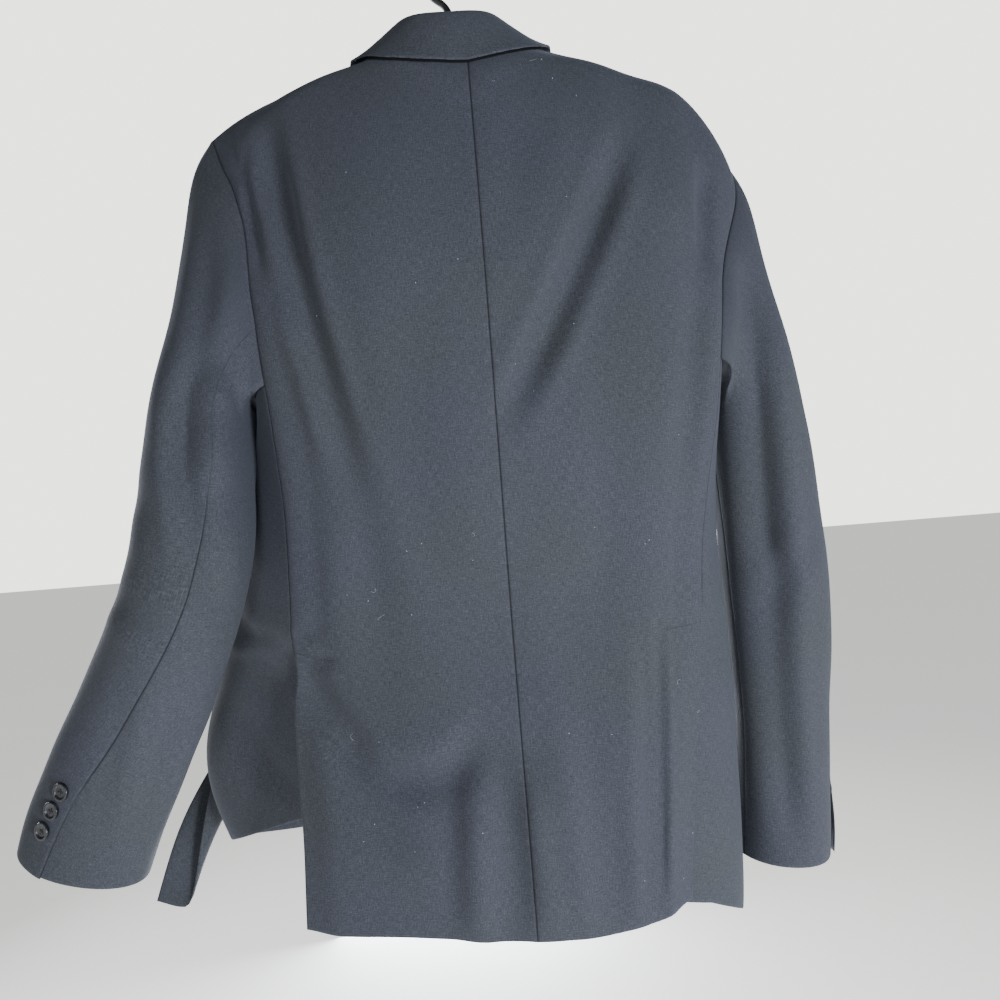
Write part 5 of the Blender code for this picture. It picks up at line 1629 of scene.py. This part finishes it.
# %% The collar
def collar():
    """The stand, the roll and the fall: one grid from notch to notch."""
    tree = cloth_tree(body)
    left, right = collar_half(body["left"], 1), collar_half(body["right"], -1)
    halves = zip(left, right)
    place, foot, beyond, way, roll, edge = (np.concatenate([other[:0:-1], own]) for own, other in halves)
    middle = COLLAR_ALONG
    foot[middle, 0] = CENTRE_BACK_X * MM
    lift = FALL_LIFT + CREST_LIFT * np.exp(-(((place - 1) / CREST_REACH) ** 2))
    edge[:, 2] -= EDGE_DROP * np.exp(-(((place - EDGE_DROP_PLACE) / EDGE_DROP_REACH) ** 2))
    edge = np.array([laid(p, tree, h, h) for p, h in zip(edge, lift)])
    roll = np.array([laid(p, tree, FALL_LIFT) for p in roll])
    grid = []
    for k in range(len(foot)):
        start = foot[k] - way[k] * WALL + beyond[k] * COLLAR_OFF
        rise = beyond[k] * max(STAND_PULL * np.linalg.norm(roll[k] - start), COLLAR_TURN)
        over = edge[k] - roll[k]
        outward = unit(over * [1, 1, 0])
        stand = np.linspace(0, 1, COLLAR_STAND + 1)[:-1]
        row = [blend(start, rise, roll[k], outward * CREST_TURN, u) for u in stand]
        to_end = min(k, len(foot) - 1 - k) / DETAIL
        gorge = GORGE * max(0, 1 - to_end / GORGE_REACH) ** 2
        for u in np.linspace(0, 1, COLLAR_OVER + 1):
            p = blend(roll[k], outward * FALL_SPRING * np.linalg.norm(over), edge[k], over, u)
            row.append(p - [0, 0, gorge * math.sin(math.pi * u) ** 1.5])
        grid.append(row)
    grid = np.array(grid)
    for k in range(len(grid)):
        for j in range(COLLAR_STAND + 1, COLLAR_STAND + COLLAR_OVER):
            grid[k, j] = laid(grid[k, j], tree, lift[k])
    face = unit(np.cross(np.gradient(grid, axis=1), np.gradient(grid, axis=0)))
    if face[middle, -1, 1] < 0:
        face = -face
    turn = np.linspace(0, 1, DETAIL + 1)[:-1, None]
    face[:, :DETAIL] = unit(-way[:, None] * (1 - turn) + face[:, [DETAIL]] * turn)
    return grid, face


fall, fall_face = collar()
cloth_piece("collar", fall, fall_face)
print("collar cut", cuts["collar"])

# %% [markdown]
# ## The undercollar
# The underside of a collar is a dense felt that is cut without allowance. Its near-black edge is drawn as a
# thin black line just below the fall's edge, a line that is partly the felt and partly painted shade for the
# shadow under the fall, so only the strip next to that edge is made, and it dies out towards both ends.

# %% The undercollar
def undercollar(grid, face):
    """The felt under the fall: it reaches a little past the fall's edge, where its near-black is partly
    painted shade, and dies out at both ends.
    """
    first, last = (COLLAR_ALONG // 2) + DETAIL, COLLAR_ALONG + COLLAR_ALONG // 2 - DETAIL
    under = WALL + UNDERCOLLAR_GAP
    strip = slice(-1 - UNDERCOLLAR_COLUMNS, None)
    rows, ways = [], []
    for k in range(first, last + 1):
        t = (k - first) / (last - first)
        down = unit(grid[k, -1] - grid[k, -2])
        shows = UNDERCOLLAR_SHOWS * (1 - UNDERCOLLAR_TAPER * (2 * t - 1) ** 4)
        inner = grid[k, strip] - face[k, strip] * under
        past = [inner[-1] + down * shows * share for share in (0.5, 1.0)]
        rows.append([*inner, *past])
        ways.append([*face[k, strip], face[k, -1], face[k, -1]])
    return np.array(rows), np.array(ways)


felt, felt_face = undercollar(fall, fall_face)
cloth_piece(
    "undercollar",
    felt,
    felt_face,
    thick=UNDERCOLLAR_THICK,
    finish=FELT_AND_PAINTED_SHADE,
    slot="collar_felt",
)
print("undercollar cut", cuts["undercollar"])

# %% [markdown]
# ## One button
# A jacket button is a turned disc with a raised rim, a dished face and four holes. It starts as a
# cylinder. Two insets make its rim and its dish, a bevel rounds what the turning tool would round, and
# four thin cylinders are cut away for the holes. One is modelled at each of two sizes.

# %% One button
BUTTON_SIDES, HOLE_SIDES = 40, 12
RIM, DISH_EDGE = 0.26, 0.10  # shares of the radius
DISH_DEPTH, ROUNDING = 0.42, 0.16  # shares of the thickness
HOLE_RADIUS, HOLE_PLACE = 0.10, 0.19  # shares of the radius
BUTTON_SIZES = {
    # radius, thickness
    "front": (FRONT_BUTTON_RADIUS, FRONT_BUTTON_THICK),
    "cuff": (CUFF_BUTTON_RADIUS, CUFF_BUTTON_THICK),
}


def cylinder(name, radius, depth, place=(0, 0, 0), sides=BUTTON_SIDES):
    bpy.ops.object.select_all(action="DESELECT")
    bpy.ops.mesh.primitive_cylinder_add(vertices=sides, radius=radius, depth=depth, location=place)
    made = bpy.context.object
    made.name = name
    bpy.ops.object.transform_apply(location=True, rotation=True, scale=True)
    return made


def select_top(made):
    """Selects the faces that look up, and stays in edit mode."""
    bpy.ops.object.mode_set(mode="OBJECT")
    for f in made.data.polygons:
        f.select = f.normal.z > 0.9
    bpy.ops.object.mode_set(mode="EDIT")
    bpy.ops.mesh.select_mode(type="FACE")


def button_master(name, radius, thick):
    made = cylinder(name, radius, thick)
    bpy.ops.object.mode_set(mode="EDIT")
    bpy.ops.mesh.select_all(action="DESELECT")
    select_top(made)
    bpy.ops.mesh.inset(thickness=radius * RIM, depth=0)
    bpy.ops.mesh.inset(thickness=radius * DISH_EDGE, depth=-thick * DISH_DEPTH)
    bpy.ops.object.mode_set(mode="OBJECT")
    soften = made.modifiers.new("soften", "BEVEL")
    soften.width, soften.segments, soften.limit_method = thick * ROUNDING, 3, "ANGLE"
    bpy.ops.object.modifier_apply(modifier=soften.name)
    off = radius * HOLE_PLACE
    for x in (-off, off):
        for y in (-off, off):
            hole = cylinder("hole", radius * HOLE_RADIUS, thick * 3, (x, y, 0), HOLE_SIDES)
            bpy.context.view_layer.objects.active = made
            cut = made.modifiers.new("cut", "BOOLEAN")
            cut.object = hole
            bpy.ops.object.modifier_apply(modifier=cut.name)
            bpy.data.objects.remove(hole, do_unlink=True)
    made.data.shade_smooth()
    made.data.set_sharp_from_angle(angle=math.radians(40))
    made.data.materials.append(RESIN)
    return made


masters = {kind: button_master(f"{kind}_master", *size) for kind, size in BUTTON_SIZES.items()}
print("faces in a button", len(masters["front"].data.polygons))

# %% [markdown]
# ## Thread through the holes
# A button is sewn on with a few passes of thread that cross over its dish and sink into its holes. Each
# stitch is a curve with a round bevel, as any thread or cord can be made, and is then turned into a mesh.

# %% Thread through the holes
STITCH_RADIUS, STITCH_POINTS = 0.055, 7  # the radius as a share of the button's
STITCH_REST, STITCH_BOW, STITCH_SINK = 0.12, 0.14, 0.3  # heights as shares of the button's thickness


def thread_cross(name, radius, thick):
    """Two stitches that cross between the four holes, as small bowed tubes made into one mesh."""
    reach = radius * HOLE_PLACE
    bpy.ops.object.select_all(action="DESELECT")
    made = []
    for x, y in ((1, 1), (1, -1)):
        path = bpy.data.curves.new(name, "CURVE")
        path.dimensions = "3D"
        path.bevel_depth, path.bevel_resolution, path.use_fill_caps = radius * STITCH_RADIUS, 2, True
        pass_of_thread = path.splines.new("POLY")
        pass_of_thread.points.add(STITCH_POINTS - 1)
        for point, t in zip(pass_of_thread.points, np.linspace(-1, 1, STITCH_POINTS)):
            height = thick * STITCH_REST + thick * STITCH_BOW * (1 - t**4) - thick * STITCH_SINK * t**8
            point.co = (x * reach * t, y * reach * t, height, 1)
        stitch = bpy.data.objects.new(name, path)
        bpy.context.collection.objects.link(stitch)
        stitch.select_set(True)
        made.append(stitch)
    bpy.context.view_layer.objects.active = made[0]
    bpy.ops.object.convert(target="MESH")
    bpy.ops.object.join()
    crossed = bpy.context.object
    crossed.name = name
    crossed.data.materials.clear()
    crossed.data.materials.append(THREAD)
    return crossed


crosses = {kind: thread_cross(f"{kind}_cross", *size) for kind, size in BUTTON_SIZES.items()}
print("faces in a cross of thread", len(crosses["front"].data.polygons))

# %% [markdown]
# ## Buttons in their places
# Two buttons sit on the right front, and three on each cuff along its vent. Each is a copy with its own
# mesh, laid so that its back is on the cloth, and each is turned a little further on its thread than the
# one before, as on a garment sewn by hand.

# %% Buttons in their places
BUTTON_OFF = 0.0003
FRONT_SPIN_FIRST, FRONT_SPIN, CUFF_SPIN = 0.4, 0.5, 0.3  # radians by which a button is turned on its thread


def placed_copy(master, name, centre, way, thick, spin):
    """A copy with its own mesh, its back at the centre and its face looking along the way."""
    copy = bpy.data.objects.new(name, master.data.copy())
    bpy.context.collection.objects.link(copy)
    turn = Vector(way).to_track_quat("Z", "Y").to_matrix().to_4x4() @ Matrix.Rotation(spin, 4, "Z")
    middle = Vector(centre) + Vector(way) * thick / 2
    copy.data.transform(Matrix.Translation(middle) @ turn)
    return copy


def sew_button(kind, node_name, centre, way, spin):
    _, thick = BUTTON_SIZES[kind]
    place = centre + way * BUTTON_OFF
    button = placed_copy(masters[kind], node_name + "_turned", place, way, thick, spin)
    dress(button, "horn_button", node_name)
    stitches = placed_copy(crosses[kind], node_name + "_thread", place, way, thick, spin)
    dress(stitches, "wool_suiting")


for k in range(FRONT_BUTTONS):
    level = BUTTON_LEVEL + FRONT_BUTTON_DROP + k * BUTTON_PITCH
    right_front = body["right"]["front"], body["right"]["faces"]["front"]
    centre, way = spot(*right_front, level, -FRONT_BUTTON_INSET)
    sew_button("front", f"front_button_{k + 1}", centre, way, FRONT_SPIN_FIRST + FRONT_SPIN * k)
for hand, (strip, strip_face) in sleeves.items():
    run = np.linalg.norm(np.diff(strip[:, -1], axis=0), axis=1)[::-1].cumsum()
    for k in range(CUFF_BUTTONS):
        up = np.interp(CUFF_BUTTON_FIRST + k * CUFF_BUTTON_PITCH, run, np.arange(1, len(run) + 1))
        centre, way = beside(strip, strip_face, len(strip) - 1 - up, -CUFF_BUTTON_INSET)
        sew_button("cuff", f"cuff_button_{hand}_{k + 1}", centre, way, CUFF_SPIN * k)
for kind in BUTTON_SIZES:
    bpy.data.objects.remove(masters[kind], do_unlink=True)
    bpy.data.objects.remove(crosses[kind], do_unlink=True)
print("buttons", FRONT_BUTTONS + 2 * CUFF_BUTTONS)

# %% [markdown]
# ## Buttonholes
# A buttonhole's edge is worked over with thread, which stands up from the cloth as a thin cord round a
# slit with a wider eye. It is drawn as a tube of thread that follows the left front. The same function
# serves every fibre.

# %% Buttonholes
BUTTONHOLE_LENGTH, BUTTONHOLE_WIDTH, BUTTONHOLE_EYE, BUTTONHOLE_INSET = 0.022, 0.0022, 0.0034, 0.012
BUTTONHOLE_POINTS, EYE_REACH, SIDES_SHARP = 49, 0.9, 3
THREAD_RADIUS, WORKED_EDGE = 0.00035, 1.5  # metres; how much thicker than one thread the worked edge is


def strand(name, runs, radius, finish, slot="wool_suiting"):
    """One mesh of small round tubes, one for each run of points."""
    path = bpy.data.curves.new(name, "CURVE")
    path.dimensions = "3D"
    path.bevel_depth, path.bevel_resolution, path.use_fill_caps = radius, 1, True
    for run in runs:
        thread = path.splines.new("POLY")
        thread.points.add(len(run) - 1)
        for point, p in zip(thread.points, run):
            point.co = (*p, 1)
    bpy.ops.object.select_all(action="DESELECT")
    made = bpy.data.objects.new(name, path)
    bpy.context.collection.objects.link(made)
    bpy.context.view_layer.objects.active = made
    made.select_set(True)
    bpy.ops.object.convert(target="MESH")
    made = bpy.context.object
    made.data.materials.clear()
    made.data.materials.append(finish)
    made.data.shade_smooth()
    dress(made, slot)
    return made


def buttonhole(level):
    """The worked edge of a keyhole buttonhole, laid on the left front."""
    front = body["left"]["front"], body["left"]["faces"]["front"]
    run = []
    for a in np.linspace(0, 2 * math.pi, BUTTONHOLE_POINTS):
        along = BUTTONHOLE_INSET + BUTTONHOLE_LENGTH * (1 - math.cos(a)) / 2
        eye = (BUTTONHOLE_EYE - BUTTONHOLE_WIDTH) / 2 * math.exp(-((a / EYE_REACH) ** 2))
        half = BUTTONHOLE_WIDTH / 2 + eye
        down = half * np.sign(math.sin(a)) * min(1, abs(math.sin(a)) * SIDES_SHARP)
        p, n = spot(*front, level + down / MM, -along)
        run.append(p + n * THREAD_RADIUS)
    return run


holes = [buttonhole(BUTTON_LEVEL + FRONT_BUTTON_DROP + k * BUTTON_PITCH) for k in range(FRONT_BUTTONS)]
strand("buttonholes", holes, THREAD_RADIUS * WORKED_EDGE, THREAD)
print("buttonholes", len(holes), "each", BUTTONHOLE_LENGTH * 1000, "mm long")

# %% [markdown]
# ## Vent tacks
# The underlap of each vent is held by a short row of stitches that slopes in from the vent's top and
# catches both layers. Every stitch dips into the cloth at its two ends.

# %% Vent tacks
STITCH_LONG, STITCH_PITCH, VENT_TACK, TACK_INSET = 0.0022, 0.0034, 0.040, 0.002
TACK_BELOW, TACK_DROPS = 2, {"left": 9, "right": 3}  # mm below the vent's top, and how far each row slopes


def tack(hand):
    """A row of stitches on the back, in from the top of the vent."""
    back = body[hand]["back"], body[hand]["faces"]["back"]
    runs = []
    for k in range(int(VENT_TACK / STITCH_PITCH)):
        run = []
        for t in np.linspace(0, 1, 4):
            reach = TACK_INSET + k * STITCH_PITCH + STITCH_LONG * t
            level = VENT_LEVEL + TACK_BELOW + TACK_DROPS[hand] * reach / VENT_TACK
            p, n = spot(*back, level, -reach)
            run.append(p + n * THREAD_RADIUS * (1.2 - 2.2 * (2 * t - 1) ** 2))
        runs.append(run)
    return runs


stitches = tack("left") + tack("right")
strand("vent_tacks", stitches, THREAD_RADIUS * 0.8, THREAD)
print("stitches in the vents' tacks", len(stitches))

# %% [markdown]
# ## Lint
# Dark wool gathers pale fibres. A few short specks and curled hairs lie on the back, placed by chance
# from a fixed seed, so that they lie in the same places each time.

# %% Lint
LINT_SEED, SPECKS, HAIRS = 7, 34, 8
SPECK_RADIUS, HAIR_RADIUS, LINT_OFF = 0.00022, 0.00007, 0.0003
chance = np.random.default_rng(LINT_SEED)


def fibre(hand, long, curl):
    """A pale fibre that lies on the back, somewhere by chance."""
    back = body[hand]["back"], body[hand]["faces"]["back"]
    level, reach = chance.uniform(30, HEM_LEVEL - 20), chance.uniform(0.02, 0.17)
    heading, bend = chance.uniform(0, math.pi), chance.uniform(-curl, curl)
    run = []
    for t in np.linspace(-0.5, 0.5, 5):
        turn = heading + bend * t
        p, n = spot(*back, level + long / MM * t * math.sin(turn), reach + long * t * math.cos(turn))
        run.append(p + n * LINT_OFF)
    return run


specks = [fibre(("left", "right")[k % 2], chance.uniform(0.0005, 0.0012), 1) for k in range(SPECKS)]
hairs = [fibre(("left", "right")[k % 2], chance.uniform(0.004, 0.009), 2.0) for k in range(HAIRS)]
strand("lint_specks", specks, SPECK_RADIUS, LINT)
strand("lint_hairs", hairs, HAIR_RADIUS, LINT)
print("specks", SPECKS, "hairs", HAIRS)

# %% [markdown]
# ## The floor
# The rail is about 1.65 m above a plain pale floor, which glows a little so that it stays pale far away
# from the lamps.

# %% The floor
FLOOR_Z, FLOOR_SIZE = -1.65, 30
bpy.ops.object.select_all(action="DESELECT")
bpy.ops.mesh.primitive_plane_add(size=FLOOR_SIZE, location=(0, 0, FLOOR_Z))
floor = bpy.context.object
floor.name = "floor"
pale, _, _ = blank(
    "pale_floor",
    Roughness=0.8,
    Base_Color=colour("#f2f2f0"),
    Emission_Color=colour("#f4f4f2"),
    Emission_Strength=0.8,
)
floor.data.materials.append(pale)
print("floor", FLOOR_SIZE, "m wide at", FLOOR_Z)

# %% [markdown]
# ## The room
# Light from all sides would fill the folds and make dark wool look flat. So the room itself lights the
# cloth only faintly, but it is seen as bright, as a lit white backdrop is when it stands well behind the
# garment.

# %% The room
ROOM_LIGHT, ROOM_SEEN = 0.08, 3.0  # how strongly the room lights the cloth, and how bright it looks behind it
world = bpy.data.worlds.new("room")
bpy.context.scene.world = world
world.use_nodes = True
room = world.node_tree.nodes["Background"]
room.inputs["Color"].default_value = colour("#f9f7f3")
seen = node(world.node_tree, "ShaderNodeLightPath").outputs["Is Camera Ray"]
levels = {"Value": seen, "To Min": ROOM_LIGHT, "To Max": ROOM_SEEN}
strength = node(world.node_tree, "ShaderNodeMapRange", levels)
world.node_tree.links.new(strength.outputs["Result"], room.inputs["Strength"])
print("the room gives", ROOM_LIGHT, "and looks", ROOM_SEEN)

# %% [markdown]
# ## Lamps
# Folds read when the light comes from one side and from low down. Behind the garment one soft lamp does
# most of the work from the wearer's right, and a weak one near the middle keeps the troughs open. Two
# lamps light the fronts and one stands at each side, so that the jacket reads from all round. All of them
# point at its middle.

# %% Lamps
LAMP_AIM = Vector((0, 0, -0.45))
LAMPS = (
    # name, x, y, z, size, watts, tint
    ("back_low", -1.20, 1.50, -1.05, 0.5, 70, "#f0f5ff"),
    ("back_key", 0.20, 1.20, -0.60, 0.5, 10, "#f4f7ff"),
    ("front_low", 0.15, -1.45, -1.45, 0.7, 50, "#f0f5ff"),
    ("front_high", -0.8, -1.5, 0.55, 0.7, 34, "#fffaf2"),
    ("left_side", 1.7, -1.1, -0.35, 0.8, 30, "#f4f7ff"),
    ("right_side", -2.1, 0.0, -0.6, 1.2, 4, "#fffaf2"),
)
for name, x, y, z, size, watts, tint in LAMPS:
    bpy.ops.object.light_add(type="AREA", location=(x, y, z))
    lamp = bpy.context.object
    lamp.name = name
    lamp.data.size, lamp.data.energy = size, watts
    lamp.data.color = colour(tint)[:3]
    lamp.visible_camera = False
    lamp.rotation_euler = (LAMP_AIM - lamp.location).to_track_quat("-Z", "Y").to_euler()
print("lamps", len(LAMPS), "watts in all", sum(row[5] for row in LAMPS))

# %% [markdown]
# ## The last update
# Last, the view layer is brought up to date.

# %% The last update
bpy.context.view_layer.update()
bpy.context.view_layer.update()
